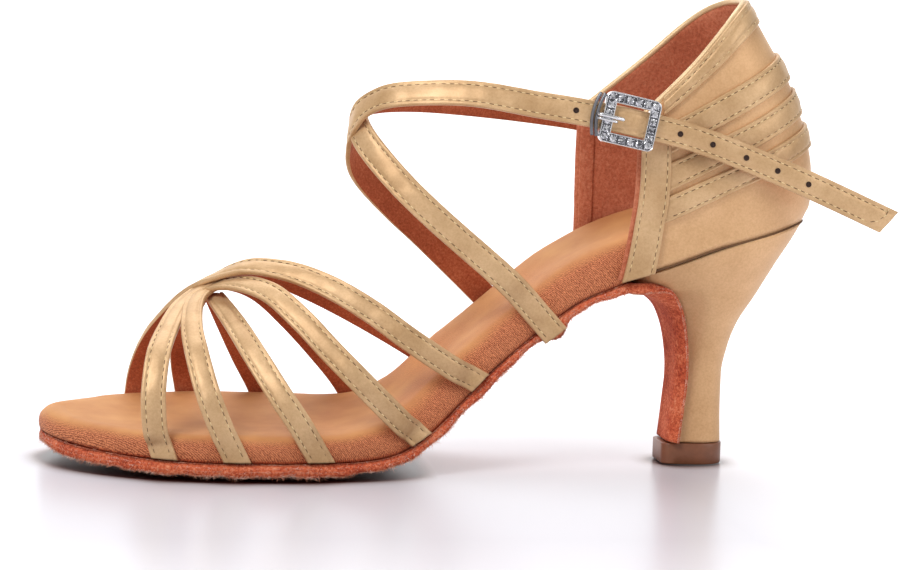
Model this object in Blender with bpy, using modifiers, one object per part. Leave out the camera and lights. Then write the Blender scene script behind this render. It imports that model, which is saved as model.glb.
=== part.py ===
# Ballroom dance shoe for the left foot: an open sandal with a fan of satin straps over the toes,
# a crossed strap at the instep, a closed heel cup and a flared heel covered in satin.
# Metres, +Z up. The origin is the middle of the heel tip's flat face on the floor.
# The toe points along -X and the outer side of the foot faces -Y.

import math
from collections import namedtuple

import bmesh
import bpy
from mathutils import Matrix, Vector

# Driving sizes
LENGTH = 0.2235  # insole, measured level from its back to its tip
HEEL_OVERHANG = 0.0285  # how far the insole's back reaches behind the origin
BALL_WIDTH = 0.070  # insole at the ball of the foot
SEAT_WIDTH = 0.045  # insole under the heel
SEAT_RISE = 0.0692  # how much higher the insole is at its back than at the ball
TOE_SPRING = 0.0046  # lift of the toe off the floor
INNER_BOW = 0.0024  # how far the sole's inner edge lifts beside its flat middle
OUTER_BOW = 0.0012  # the same for its outer edge
OUTSOLE = 0.0034  # thickness of the suede sole at the ball
BREAST_FLAP = 0.0015  # thickness of the suede down the front of the heel
WELT = 0.0014  # how far the outsole shows beyond the insole
INSOLE = 0.0082  # padded footbed
INNER_RISE = 0.0020  # how much thicker the insole is along its inner edge
VAMP_HEIGHT = 0.058  # scale for the vamp straps' heights over the footbed
STRAP_WIDTH = 0.0070  # each vamp strap
STRAP_THICKNESS = 0.0015
ANKLE_STRAP_WIDTH = 0.0078
UPPER_HEIGHT = 0.1390  # top of the heel cup above the floor
WALL = 0.0016  # heel cup: satin, stiffener and lining
BAND_STEP = 0.0008  # bands that stand proud of the heel cup
FRONT_STEP = 0.0012  # the upright band along the heel cup's outer front edge
FRONT_BAND = 0.0088  # width of that upright band
TIP_HEIGHT = 0.0064
TIP_LENGTH = 0.0195
TIP_WIDTH = 0.0163
TIP_MARGIN = 0.0007  # how far the heel tip shows round the heel above it
BUCKLE_LENGTH = 0.0162
BUCKLE_WIDTH = 0.0148
BUCKLE_THICKNESS = 0.0018
BUCKLE_RIM = 0.0031
BUCKLE_BAR = 0.0009  # radius of the curved bar at the buckle's toe end
BUCKLE_BULGE = 0.0012  # how far that bar curves away from the frame
PRONG_RADIUS = 0.0006
HOLE_RADIUS = 0.0009  # punched holes in the ankle strap
HOLE_PITCH = 0.0104
GAP = 0.0003  # clearance between pieces that touch
FOOT_GAP = 0.0005  # clearance of the straps' ends beside the sole

# Shares that describe forms
BACK_ROUND = 0.125  # part of the length that is rounded at the heel
TOE_ROUND = 0.20  # part of the length that is rounded at the toe
ROUND_POWER = 2.35
SHANK_END = 0.236  # along the length, where the sole leaves the footbed for the heel's front
CUT_DEPTH = 0.012  # how far in front of the heel's face its block is cut away
CUT_OVERRUN = 0.004  # how far that cut runs on past the suede's lower end
FLAT_SHARE = 0.45  # middle part of the sole that isn't bowed
SLOPE_REACH = 0.004  # share of the length over which the footbed's slope is read
SEAT_END = 0.20  # share of the length up to which SEAT_WIDTH alone sets the width
BALL_START = 0.55  # share of the length from which BALL_WIDTH alone sets the width
HEEL_BACK_ROUND = 1.15  # length of a heel section's round back, as a share of its half width
HEEL_FRONT_CORNER = 0.35  # rounded corners of a heel section's front, as a share of its half width
EDGE_BEVEL = 0.3  # bevelled part of a strap's thickness

# The footbed from heel to toe. along: share of the length from the back. rise: share of SEAT_RISE.
# spring: share of TOE_SPRING. bow: share of the sole's bow. outer, inner: half widths as shares of half
# the ball width, before the ends are rounded. pad: the insole's thickness as a share of INSOLE.
# welt: how far the outsole shows beyond the insole, as a share of WELT. sole: the outsole's thickness
# as a share of OUTSOLE.
Footbed = namedtuple("Footbed", "along rise spring bow outer inner pad welt sole")
FOOTBED = (
    Footbed(-0.20, 1.091, 0.00, 0.00, 0.643, 0.643, 1.10, 0.3, 1.00),
    Footbed(0.000, 1.019, 0.00, 0.00, 0.643, 0.643, 1.10, 0.3, 1.00),
    Footbed(0.049, 0.977, 0.00, 0.00, 0.643, 0.643, 1.16, 0.3, 1.00),
    Footbed(0.116, 0.917, 0.00, 0.00, 0.643, 0.643, 1.30, 0.3, 1.00),
    Footbed(0.176, 0.840, 0.00, 0.00, 0.643, 0.640, 1.52, 0.3, 1.00),
    Footbed(0.218, 0.790, 0.00, 0.00, 0.640, 0.625, 1.56, 0.3, 0.95),
    Footbed(0.259, 0.737, 0.00, 0.00, 0.634, 0.597, 1.51, 0.1, 0.74),
    Footbed(0.301, 0.676, 0.00, 0.10, 0.631, 0.560, 1.38, 0.0, 0.64),
    Footbed(0.334, 0.602, 0.00, 0.20, 0.634, 0.530, 1.30, 0.0, 0.62),
    Footbed(0.366, 0.521, 0.00, 0.30, 0.648, 0.508, 1.25, 0.0, 0.64),
    Footbed(0.403, 0.420, 0.00, 0.35, 0.678, 0.498, 1.24, 0.1, 0.67),
    Footbed(0.429, 0.342, 0.00, 0.42, 0.710, 0.500, 1.29, 0.2, 0.67),
    Footbed(0.453, 0.263, 0.00, 0.48, 0.750, 0.510, 1.34, 0.4, 0.66),
    Footbed(0.506, 0.103, 0.00, 0.60, 0.860, 0.560, 1.35, 0.7, 0.66),
    Footbed(0.551, 0.025, 0.00, 0.76, 0.957, 0.615, 1.24, 0.9, 0.75),
    Footbed(0.590, 0.005, 0.00, 0.88, 1.030, 0.675, 1.10, 1.0, 0.88),
    Footbed(0.627, 0.000, 0.00, 1.00, 1.086, 0.743, 1.00, 1.0, 1.00),
    Footbed(0.703, 0.000, 0.00, 1.00, 1.157, 0.829, 0.98, 1.0, 1.00),
    Footbed(0.780, 0.000, 0.00, 1.00, 1.137, 0.829, 0.98, 1.0, 1.00),
    Footbed(0.847, 0.000, 0.10, 0.90, 1.057, 0.757, 0.97, 1.0, 1.00),
    Footbed(0.915, 0.000, 0.36, 0.60, 0.929, 0.650, 0.92, 0.8, 1.00),
    Footbed(0.960, 0.000, 0.66, 0.40, 0.829, 0.560, 0.86, 0.3, 1.00),
    Footbed(1.000, 0.000, 1.00, 0.25, 0.743, 0.480, 0.80, -0.7, 0.60),
)

# The insole's side, from its underside to its top. inset, up: shares of INSOLE.
Side = namedtuple("Side", "inset up")
INSOLE_SIDE = (
    Side(0.14, 0.00),
    Side(0.03, 0.10),
    Side(0.00, 0.38),
    Side(0.05, 0.64),
    Side(0.18, 0.84),
    Side(0.42, 0.96),
    Side(0.80, 1.00),
)

# The outsole's inner face where it turns down the heel's front. reach: X as a share of the heel tip's
# length. level: share of SEAT_RISE. half: share of SEAT_WIDTH. wrap: how far its edges fold round the
# heel's sides, share of TIP_LENGTH. thick: share between OUTSOLE (0) and BREAST_FLAP (1).
Breast = namedtuple("Breast", "reach level half wrap thick")
BREAST = (
    Breast(-1.16, 0.800, 0.515, 0.04, 0.15),
    Breast(-0.93, 0.785, 0.470, 0.09, 0.25),
    Breast(-0.70, 0.750, 0.400, 0.14, 0.55),
    Breast(-0.50, 0.692, 0.325, 0.12, 0.90),
    Breast(-0.38, 0.610, 0.270, 0.11, 1.00),
    Breast(-0.31, 0.510, 0.228, 0.11, 1.00),
    Breast(-0.28, 0.390, 0.202, 0.11, 1.00),
    Breast(-0.32, 0.240, 0.190, 0.11, 1.00),
    Breast(-0.365, 0.100, 0.187, 0.11, 1.00),
)

# Level sections of the heel. level: share of the seat's height. back, front: X as shares of the heel
# tip's length. half, front_half: half widths as shares of the tip's width. tilt: how far the section
# leans to the seat's slope.
Heel = namedtuple("Heel", "level back front half front_half tilt")
HEEL = (
    Heel(0.000, 0.480, -0.60, 0.465, 0.430, 0.0),
    Heel(0.170, 0.458, -0.60, 0.475, 0.440, 0.0),
    Heel(0.350, 0.452, -0.60, 0.520, 0.460, 0.0),
    Heel(0.490, 0.522, -0.60, 0.640, 0.530, 0.0),
    Heel(0.620, 0.655, -0.75, 0.835, 0.680, 0.0),
    Heel(0.740, 0.905, -0.95, 1.070, 0.890, 0.2),
    Heel(0.860, 1.200, -1.12, 1.300, 1.110, 0.6),
    Heel(0.940, 1.430, -1.22, 1.430, 1.290, 0.85),
    Heel(1.000, 1.575, -1.25, 1.490, 1.400, 1.0),
)

# The heel cup's sections. level: share of UPPER_HEIGHT. back: how far its back moves from the seat's
# outline, share of the cup's depth. width: share of the seat's width.
Cup = namedtuple("Cup", "level back width")
CUP = (
    Cup(0.380, 0.000, 1.000),
    Cup(0.530, 0.005, 1.000),
    Cup(0.575, 0.048, 1.035),
    Cup(0.640, 0.046, 1.050),
    Cup(0.705, 0.016, 1.030),
    Cup(0.777, -0.046, 0.985),
    Cup(0.849, -0.125, 0.935),
    Cup(0.921, -0.240, 0.870),
    Cup(1.000, -0.368, 0.790),
)
CUP_DEPTH = 0.0545  # heel cup from its back to its outer front edge
CUP_INNER_REACH = 0.0085  # how much further forward the cup reaches on the inner side
CUP_FLARE = 0.0050  # how much further forward its outer front edge is at the bottom

# The lines where the cup's wall steps out to a band or back. back, front: heights at the cup's back
# and front edge, as shares of UPPER_HEIGHT. bend: 1 for an even fall, more where the line falls late.
# raised: whether a band starts above the line.
Line = namedtuple("Line", "back front bend raised")
LINES = (
    Line(0.702, 0.499, 1.0, True),
    Line(0.746, 0.561, 1.0, False),
    Line(0.770, 0.567, 1.0, True),
    Line(0.819, 0.630, 1.0, False),
    Line(0.842, 0.645, 1.05, True),
    Line(0.890, 0.710, 1.1, False),
    Line(0.956, 0.716, 1.32, True),
    Line(1.000, 0.752, 1.4, False),
)
CUP_ROWS_BELOW = 4  # rows of the wall under the lowest line
CUP_COLUMNS = 15  # columns of the wall on each side
CUP_PACKING = 1.8  # how much closer together the columns stand near the back

# The five vamp straps, each in one run from the outer side of the sole over the toes' crown to the
# inner side. They cross at the crown. along: share of LENGTH. side: share of BALL_WIDTH. height: over
# the footbed, share of VAMP_HEIGHT. face: where the strap's face points, in degrees: 0 outward, 90 up
# and 180 to the inner side.
Wrap = namedtuple("Wrap", "along side height face")
FRONT_WRAP = (
    Wrap(0.856, -0.557, 0.167, 3),
    Wrap(0.859, -0.543, 0.335, 12),
    Wrap(0.853, -0.457, 0.516, 30),
    Wrap(0.840, -0.314, 0.620, 50),
    Wrap(0.819, -0.143, 0.725, 70),
    Wrap(0.785, -0.043, 0.820, 88),
    Wrap(0.747, 0.000, 0.871, 100),
    Wrap(0.711, 0.057, 0.867, 115),
    Wrap(0.657, 0.157, 0.791, 135),
    Wrap(0.600, 0.229, 0.687, 150),
    Wrap(0.542, 0.279, 0.531, 162),
    Wrap(0.488, 0.286, 0.273, 172),
)
SECOND_WRAP = (
    Wrap(0.774, -0.593, 0.190, 3),
    Wrap(0.791, -0.571, 0.352, 12),
    Wrap(0.804, -0.471, 0.528, 30),
    Wrap(0.809, -0.314, 0.654, 50),
    Wrap(0.801, -0.143, 0.756, 72),
    Wrap(0.776, -0.043, 0.807, 90),
    Wrap(0.745, 0.043, 0.801, 105),
    Wrap(0.708, 0.114, 0.744, 120),
    Wrap(0.667, 0.229, 0.609, 140),
    Wrap(0.629, 0.321, 0.459, 155),
    Wrap(0.591, 0.350, 0.283, 170),
)
MIDDLE_WRAP = (
    Wrap(0.676, -0.593, 0.217, 3),
    Wrap(0.701, -0.557, 0.355, 10),
    Wrap(0.731, -0.443, 0.531, 25),
    Wrap(0.752, -0.286, 0.653, 45),
    Wrap(0.772, -0.114, 0.750, 70),
    Wrap(0.774, 0.000, 0.747, 92),
    Wrap(0.754, 0.171, 0.602, 128),
    Wrap(0.727, 0.343, 0.403, 150),
    Wrap(0.702, 0.429, 0.228, 170),
)
FOURTH_WRAP = (
    Wrap(0.546, -0.507, 0.191, 4),
    Wrap(0.600, -0.543, 0.425, 8),
    Wrap(0.637, -0.486, 0.567, 15),
    Wrap(0.673, -0.400, 0.701, 25),
    Wrap(0.709, -0.286, 0.804, 40),
    Wrap(0.745, -0.171, 0.833, 60),
    Wrap(0.777, -0.071, 0.801, 82),
    Wrap(0.796, 0.057, 0.714, 105),
    Wrap(0.810, 0.229, 0.543, 140),
    Wrap(0.808, 0.371, 0.364, 160),
    Wrap(0.800, 0.421, 0.194, 172),
)
REAR_WRAP = (
    Wrap(0.477, -0.421, 0.258, 6),
    Wrap(0.533, -0.443, 0.560, 12),
    Wrap(0.583, -0.386, 0.741, 18),
    Wrap(0.633, -0.314, 0.853, 28),
    Wrap(0.683, -0.229, 0.917, 42),
    Wrap(0.734, -0.129, 0.926, 60),
    Wrap(0.774, -0.057, 0.867, 80),
    Wrap(0.806, 0.014, 0.778, 100),
    Wrap(0.839, 0.143, 0.593, 125),
    Wrap(0.855, 0.257, 0.450, 145),
    Wrap(0.865, 0.329, 0.304, 160),
    Wrap(0.869, 0.357, 0.182, 172),
)
# outer_foot, inner_foot: shares of the length where the strap leaves the sole on each side
Strap = namedtuple("Strap", "name outer_foot rows inner_foot")
VAMP = (
    Strap("front", 0.841, FRONT_WRAP, 0.450),
    Strap("second", 0.752, SECOND_WRAP, 0.557),
    Strap("middle", 0.647, MIDDLE_WRAP, 0.689),
    Strap("fourth", 0.515, FOURTH_WRAP, 0.798),
    Strap("rear", 0.437, REAR_WRAP, 0.871),
)
KNOT_NARROWING = 0.22  # share of the straps' width that is gathered in where they cross
TOE_LEAN = 0.22  # how far the vamp straps' faces lean to the toe at the crown
SHEAR_REACH = 1.6  # a strap's slanted end runs out over this many widths

# The two ankle straps. along: share of the length. side: share of BALL_WIDTH. height: share of
# UPPER_HEIGHT. turn, lift: where the strap's face points, in degrees. turn 0 is outward on the outer
# side, 90 to the toe and 180 to the inner side.
Route = namedtuple("Route", "along side height turn lift")
LONG_STRAP = (
    Route(0.409, 0.264, 0.351, 172, 6),
    Route(0.451, 0.250, 0.414, 164, 10),
    Route(0.494, 0.229, 0.477, 152, 14),
    Route(0.530, 0.200, 0.527, 140, 18),
    Route(0.573, 0.125, 0.592, 120, 20),
    Route(0.594, 0.057, 0.636, 102, 22),
    Route(0.602, -0.014, 0.679, 82, 24),
    Route(0.600, -0.093, 0.723, 62, 26),
    Route(0.586, -0.150, 0.757, 48, 30),
    Route(0.550, -0.243, 0.782, 32, 30),
    Route(0.464, -0.357, 0.791, 18, 26),
    Route(0.376, -0.414, 0.773, 8, 18),
    Route(0.312, -0.443, 0.759, 2, 10),
    Route(0.259, -0.443, 0.744, 0, 4),
    Route(0.178, -0.436, 0.716, -2, 2),
    Route(0.104, -0.429, 0.677, -4, 0),
    Route(0.013, -0.421, 0.621, -6, 0),
    Route(-0.097, -0.400, 0.547, -10, -2),
)
SHORT_STRAP = (
    Route(0.384, -0.352, 0.372, 4, 4),
    Route(0.414, -0.375, 0.417, 8, 12),
    Route(0.498, -0.357, 0.529, 20, 22),
    Route(0.548, -0.286, 0.605, 36, 30),
    Route(0.585, -0.171, 0.678, 58, 30),
    Route(0.594, -0.071, 0.719, 84, 32),
    Route(0.583, 0.014, 0.743, 108, 34),
    Route(0.555, 0.114, 0.758, 132, 36),
    Route(0.490, 0.200, 0.763, 152, 26),
    Route(0.390, 0.285, 0.753, 166, 16),
    Route(0.300, 0.352, 0.738, 174, 8),
    Route(0.258, 0.372, 0.728, 176, 6),
)
LONG_FOOT = 0.369  # share of the length where the long strap leaves the sole, on the inner side
SHORT_FOOT = 0.349  # the same for the short strap, on the outer side
SHORT_REACH = 0.0039  # how far the short strap reaches down over the outsole's edge
ROUTE_STEPS = 2  # stations between two rows of a strap
BUCKLE_ROW = 13  # row of the long strap that passes through the buckle
HOLES_BEFORE = 1  # punched holes on the toe side of the buckle
HOLES_AFTER = 5

# Colour, roughness and metallic value of each material
Finish = namedtuple("Finish", "name colour roughness metallic")
SATIN = Finish("gold_satin", (0.62, 0.44, 0.24), 0.42, 0.0)
PADDING = Finish("tan_footbed", (0.66, 0.28, 0.11), 0.75, 0.0)
SUEDE = Finish("rust_suede", (0.42, 0.12, 0.06), 0.95, 0.0)
TIP_PLASTIC = Finish("brown_plastic", (0.14, 0.05, 0.03), 0.45, 0.0)
METAL = Finish("silver_metal", (0.72, 0.72, 0.74), 0.25, 1.0)

# Where the outsole's rows lie along the footbed, and its columns across, from -1 to 1
SOLE_ROWS = (1.0, 0.998, 0.992, 0.98, 0.962, 0.94, 0.91, 0.875, 0.84, 0.80, 0.76, 0.72, 0.68, 0.64, 0.60)
SOLE_ROWS += (0.57, 0.54, 0.51, 0.48, 0.45, 0.42, 0.39, 0.36, 0.33, 0.30, 0.27, SHANK_END + 0.01)
SOLE_COLUMNS = (-1, -0.96, -0.86, -0.7, -FLAT_SHARE, 0, FLAT_SHARE, 0.7, 0.86, 0.96, 1)
CUTTER_ROWS = 7  # the footbed's last rows of the outsole that the heel's cutter takes in

HALF_BALL = BALL_WIDTH / 2
BUCKLE_STATION = (BUCKLE_ROW + 2) * ROUTE_STEPS
SOLE_BASE = OUTSOLE + GAP  # underside of the insole at the ball
SEAT_HEIGHT = SOLE_BASE + SEAT_RISE


def clamp(value, low, high):
    return max(low, min(high, value))


def mix(a, b, share):
    return a + (b - a) * share


def read(rows, column, at):
    """A column of a table at a place given in its first column, on a curve that never overshoots."""
    places = [row[0] for row in rows]
    values = [getattr(row, column) for row in rows]
    at = clamp(at, places[0], places[-1])
    i = max(k for k in range(len(rows) - 1) if places[k] <= at)
    steps = [b - a for a, b in zip(places, places[1:])]
    slopes = [(b - a) / step for a, b, step in zip(values, values[1:], steps)]

    def tangent(k):
        if k == 0 or k == len(rows) - 1:
            return slopes[min(k, len(slopes) - 1)]
        before, after = slopes[k - 1], slopes[k]
        if before * after <= 0:
            return 0.0
        return 2 * before * after / (before + after)

    step, share = steps[i], (at - places[i]) / steps[i]
    start = values[i] * (1 + 2 * share) * (1 - share) ** 2 + step * tangent(i) * share * (1 - share) ** 2
    end = values[i + 1] * (3 - 2 * share) * share**2 - step * tangent(i + 1) * share**2 * (1 - share)
    return start + end


def through(values, at):
    """A smooth curve through values at 0, 1, 2 and on; they are numbers or vectors."""
    last = len(values) - 1
    i = int(clamp(math.floor(at), 0, last - 1))
    share = at - i
    b, c = values[i], values[i + 1]
    a = values[i - 1] if i > 0 else b * 2 - c
    d = values[i + 2] if i + 2 <= last else c * 2 - b
    cubic = (b - c) * 3 + d - a
    square = a * 2 - b * 5 + c * 4 - d
    return b + ((c - a) + (square + cubic * share) * share) * (share * 0.5)


# The footbed, which everything follows


def x_of(along):
    return HEEL_OVERHANG - along * LENGTH


def along_of(x):
    return (HEEL_OVERHANG - x) / LENGTH


def base_height(along):
    """Height of the insole's underside on its middle line."""
    rise = read(FOOTBED, "rise", along) * SEAT_RISE
    return SOLE_BASE + rise + read(FOOTBED, "spring", along) * TOE_SPRING


def up_at(along):
    """Direction straight out of the footbed."""
    ahead, behind = base_height(along + SLOPE_REACH), base_height(along - SLOPE_REACH)
    slope = (ahead - behind) / (2 * SLOPE_REACH * LENGTH)
    return Vector((slope, 0, 1)).normalized()


def rounding(along):
    """Share of the full width that is left where an end is rounded."""
    share = 1.0
    if along < BACK_ROUND:
        share = 1 - (1 - max(along, 0) / BACK_ROUND) ** ROUND_POWER
    if along > 1 - TOE_ROUND:
        share = 1 - ((min(along, 1) - 1 + TOE_ROUND) / TOE_ROUND) ** ROUND_POWER
    return max(share, 0) ** (1 / ROUND_POWER)


def half_width(along, side):
    """Half width of the insole on one side; the heel's part follows SEAT_WIDTH."""
    column = "outer" if side < 0 else "inner"
    at_ball = read(FOOTBED, column, along)
    at_seat = FOOTBED[1].outer
    heel_part = clamp((BALL_START - along) / (BALL_START - SEAT_END), 0, 1)
    seat_scale = SEAT_WIDTH / (2 * at_seat * HALF_BALL)
    return at_ball * HALF_BALL * mix(1, seat_scale, heel_part) * rounding(along)


def edge(along, side, outset=0.0):
    """Plan position (x, y) of the insole's edge, moved outward by outset."""
    x, y = x_of(along), side * half_width(along, side)
    if along <= 0 or along >= 1:
        return x + (outset if along <= 0 else -outset), 0.0
    reach = min(0.002, along / 2, (1 - along) / 2)
    run = -2 * reach * LENGTH
    rise = side * (half_width(along + reach, side) - half_width(along - reach, side))
    size = math.hypot(run, rise)
    return x + side * outset * rise / size, y - side * outset * run / size


def over_footbed(x, y, up):
    """Point above the footbed at plan position x, y on the insole's underside."""
    along = along_of(x)
    side = -1 if y < 0 else 1
    half = max(half_width(clamp(along, 0.08, 0.92), side), 0.001)
    beyond = clamp((abs(y) / half - FLAT_SHARE) / (1 - FLAT_SHARE), 0, 1.2)
    bow = read(FOOTBED, "bow", along) * (OUTER_BOW if side < 0 else INNER_BOW) * beyond**2
    return Vector((x, y, base_height(along) + bow)) + up_at(along) * up


def pad(along, side_share):
    """Thickness of the insole; side_share is 1 at its inner edge and -1 at its outer one."""
    return read(FOOTBED, "pad", along) * INSOLE + INNER_RISE * (side_share + 1) / 2


def ends_packed(count, low=0.0, high=1.0):
    """Places from low to high, closer together near both ends."""
    return [mix(low, high, (1 - math.cos(math.pi * i / (count - 1))) / 2) for i in range(count)]


# Meshes


def finish_mesh(obj, mesh, weld=2e-6):
    """Welds doubled points, drops collapsed faces and points every face outward."""
    shape = bmesh.new()
    shape.from_mesh(mesh)
    bmesh.ops.remove_doubles(shape, verts=shape.verts, dist=weld)
    bmesh.ops.dissolve_degenerate(shape, edges=shape.edges, dist=weld)
    bmesh.ops.recalc_face_normals(shape, faces=shape.faces)
    if shape.calc_volume(signed=True) < 0:
        bmesh.ops.reverse_faces(shape, faces=shape.faces)
    shape.to_mesh(mesh)
    shape.free()
    for face in mesh.polygons:
        face.use_smooth = True
    mesh.set_sharp_from_angle(angle=math.radians(40))
    return obj


def mesh_object(name, points, faces):
    mesh = bpy.data.meshes.new(name)
    mesh.from_pydata([tuple(point) for point in points], [], faces)
    return finish_mesh(bpy.data.objects.new(name, mesh), mesh)


def loft(name, rings, capped=True):
    """Solid through rings of equally many points."""
    size = len(rings[0])
    points = [point for ring in rings for point in ring]
    faces = []
    for i in range(len(rings) - 1):
        for j in range(size):
            k = (j + 1) % size
            faces.append((i * size + j, i * size + k, (i + 1) * size + k, (i + 1) * size + j))
    if capped:
        faces.append(tuple(range(size)))
        faces.append(tuple(reversed(range(len(points) - size, len(points)))))
    return mesh_object(name, points, faces)


def sheet_solid(name, inner, outer):
    """Solid between two grids of points that match, closed round their edges."""
    rows, columns = len(inner), len(inner[0])
    points = [p for row in inner for p in row] + [p for row in outer for p in row]
    shift = rows * columns
    faces = []
    for i in range(rows - 1):
        for j in range(columns - 1):
            a, b = i * columns + j, (i + 1) * columns + j
            faces.append((a, a + 1, b + 1, b))
            faces.append((shift + b, shift + b + 1, shift + a + 1, shift + a))
    rim = list(range(columns))
    rim += [i * columns + columns - 1 for i in range(1, rows)]
    rim += [(rows - 1) * columns + j for j in reversed(range(columns - 1))]
    rim += [i * columns for i in reversed(range(1, rows - 1))]
    for a, b in zip(rim, rim[1:] + rim[:1]):
        faces.append((b, a, shift + a, shift + b))
    return mesh_object(name, points, faces)


def grid_normals(grid):
    """Unit normals of a grid of points, from its neighbours."""
    rows, columns = len(grid), len(grid[0])
    normals = []
    for i in range(rows):
        line = []
        for j in range(columns):
            along = grid[min(i + 1, rows - 1)][j] - grid[max(i - 1, 0)][j]
            across = grid[i][min(j + 1, columns - 1)] - grid[i][max(j - 1, 0)]
            line.append(across.cross(along).normalized())
        normals.append(line)
    return normals


def cut(obj, cutter, operation="DIFFERENCE"):
    modifier = obj.modifiers.new(operation.lower() + "_" + cutter.name, "BOOLEAN")
    modifier.operation = operation
    modifier.solver = "EXACT"
    modifier.object = cutter


# Sole


def make_insole():
    """Padded footbed: rings set in from the outline by the side's profile, joined across."""
    rings = []
    shares = (0.25, 0.5, 0.75)
    for along in ends_packed(25):
        sides = []
        for side in (-1, 1):
            ring = []
            for row in INSOLE_SIDE:
                x, y = edge(along, side, -row.inset * INSOLE)
                at_end = along in (0, 1)
                ring.append(over_footbed(x, y, row.up * pad(along, 0 if at_end else side)))
            sides.append(ring)
        outer, inner = sides
        top = [over_footbed(*mixed_plan(outer[-1], inner[-1], s, pad(along, 2 * s - 1))) for s in shares]
        bottom = [over_footbed(*mixed_plan(inner[0], outer[0], s, 0)) for s in shares]
        if along in (0, 1):
            top = [outer[-1]] * len(shares)
            bottom = [outer[0]] * len(shares)
        rings.append(outer + top + list(reversed(inner)) + bottom)
    return loft("insole", rings, capped=False)


def mixed_plan(start, end, share, up):
    """Plan position and height over the footbed for a point between two others at that height."""
    x, y = mix(start.x, end.x, share), mix(start.y, end.y, share)
    slope = up_at(along_of(x))
    x_foot = x - slope.x * up
    return x_foot, y, up


def sole_section(along):
    """The outsole's inner face across the footbed."""
    welt = read(FOOTBED, "welt", along) * WELT
    (x_out, y_out), (x_in, y_in) = edge(along, -1, welt), edge(along, 1, welt)
    line = []
    for t in SOLE_COLUMNS:
        share = (t + 1) / 2
        line.append(over_footbed(mix(x_out, x_in, share), mix(y_out, y_in, share), -GAP))
    return line


def breast_section(row, back_dir):
    """The outsole's inner face down the heel's front, its edges folded back along back_dir."""
    x, z = row.reach * TIP_LENGTH, row.level * SEAT_RISE
    folded = clamp(row.wrap / 0.2, 0, 1)
    line = []
    for t in SOLE_COLUMNS:
        rounded = (1 - (1 - abs(t)) ** 2.2) ** (1 / 2.2)
        y = math.copysign(mix(abs(t), rounded, folded), t) * row.half * SEAT_WIDTH
        back = row.wrap * TIP_LENGTH * abs(t) ** 4
        line.append(Vector((x, y, z)) + back_dir * back)
    return line


def sole_grid():
    """The outsole's inner face from the toe's tip to the heel tip, and its thickness at each row."""
    grid = [sole_section(along) for along in SOLE_ROWS]
    thickness = [OUTSOLE * read(FOOTBED, "sole", along) for along in SOLE_ROWS]
    path = [Vector((row.reach * TIP_LENGTH, 0, row.level * SEAT_RISE)) for row in BREAST]
    for i, row in enumerate(BREAST):
        run = path[min(i + 1, len(path) - 1)] - path[max(i - 1, 0)]
        back_dir = Vector((-run.z, 0, run.x)).normalized()
        grid.append(breast_section(row, back_dir))
        thickness.append(mix(OUTSOLE, BREAST_FLAP, row.thick))
    return grid, thickness


def make_outsole():
    """Suede sole: one strip from the toe to the heel tip, turned down the heel's front."""
    grid, thickness = sole_grid()
    normals = grid_normals(grid)
    outer = []
    for i, line in enumerate(grid):
        row = []
        for j, point in enumerate(line):
            row.append(point + normals[i][j] * thickness[i])
        outer.append(row)
    return sheet_solid("outsole", grid, outer)


def make_sole_cutter():
    """Everything in front of the outsole's inner face, grown by the clearance."""
    grid, _ = sole_grid()
    grid = grid[len(SOLE_ROWS) - CUTTER_ROWS :]
    normals = grid_normals(grid)
    near, far = [], []
    for i, line in enumerate(grid):
        widened = list(line)
        widened[0] = line[0] + (line[0] - line[1]).normalized() * 2 * GAP
        widened[-1] = line[-1] + (line[-1] - line[-2]).normalized() * 2 * GAP
        near.append([p - n * GAP for p, n in zip(widened, normals[i])])
        far.append([p + n * CUT_DEPTH for p, n in zip(widened, normals[i])])
    run = (near[-1][0] - near[-2][0]).normalized() * CUT_OVERRUN
    near.append([p + run for p in near[-1]])
    far.append([p + run for p in far[-1]])
    return sheet_solid("sole_cutter", near, far)


# Heel


def d_outline(back, front, half, front_half, steps=7):
    """Closed outline of a heel section: round at the back, nearly flat at the front."""
    round_length = min(half * HEEL_BACK_ROUND, (back - front) * 0.62)
    corner = front_half * HEEL_FRONT_CORNER
    one_side = []
    for i in range(steps):
        turn = i / (steps - 1) * math.pi / 2
        x = back - round_length * (1 - math.cos(turn) ** (2 / ROUND_POWER))
        one_side.append((x, half * math.sin(turn) ** (2 / ROUND_POWER)))
    start = back - round_length
    for share in (0.5, 1.0):
        one_side.append((mix(start, front + corner, share), mix(half, front_half, share)))
    for degrees in (30, 60, 90):
        turn = math.radians(degrees)
        x = front + corner * (1 - math.sin(turn))
        one_side.append((x, front_half - corner * (1 - math.cos(turn))))
    other_side = [(x, -y) for x, y in reversed(one_side[1:])]
    return one_side + other_side


def make_heel():
    """Flared block under the seat, its front hollowed to take the suede."""
    bottom = TIP_HEIGHT + GAP
    rings = []
    for row in HEEL:
        outline = d_outline(
            row.back * TIP_LENGTH,
            row.front * TIP_LENGTH,
            row.half * TIP_WIDTH,
            row.front_half * TIP_WIDTH,
        )
        ring = []
        for x, y in outline:
            seat = over_footbed(x, y, 0).z - GAP
            middle = over_footbed(0, 0, 0).z - GAP
            level = mix(bottom, middle, row.level)
            ring.append(Vector((x, y, level + row.tilt * (seat - middle))))
        rings.append(ring)
    return loft("heel", rings)


def make_heel_tip():
    """Wear piece under the heel, flat on the floor."""
    back = TIP_LENGTH / 2
    outline = d_outline(back, -back, TIP_WIDTH / 2, TIP_WIDTH / 2 - TIP_MARGIN)
    rings = []
    for z in (0, TIP_HEIGHT):
        rings.append([Vector((x, y, z)) for x, y in outline])
    tip = loft("heel_tip", rings)
    bevel = tip.modifiers.new("worn_edge", "BEVEL")
    bevel.width = 0.0004
    bevel.segments = 2
    bevel.limit_method = "ANGLE"
    bevel.angle_limit = math.radians(60)
    return tip


# Heel cup


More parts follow.
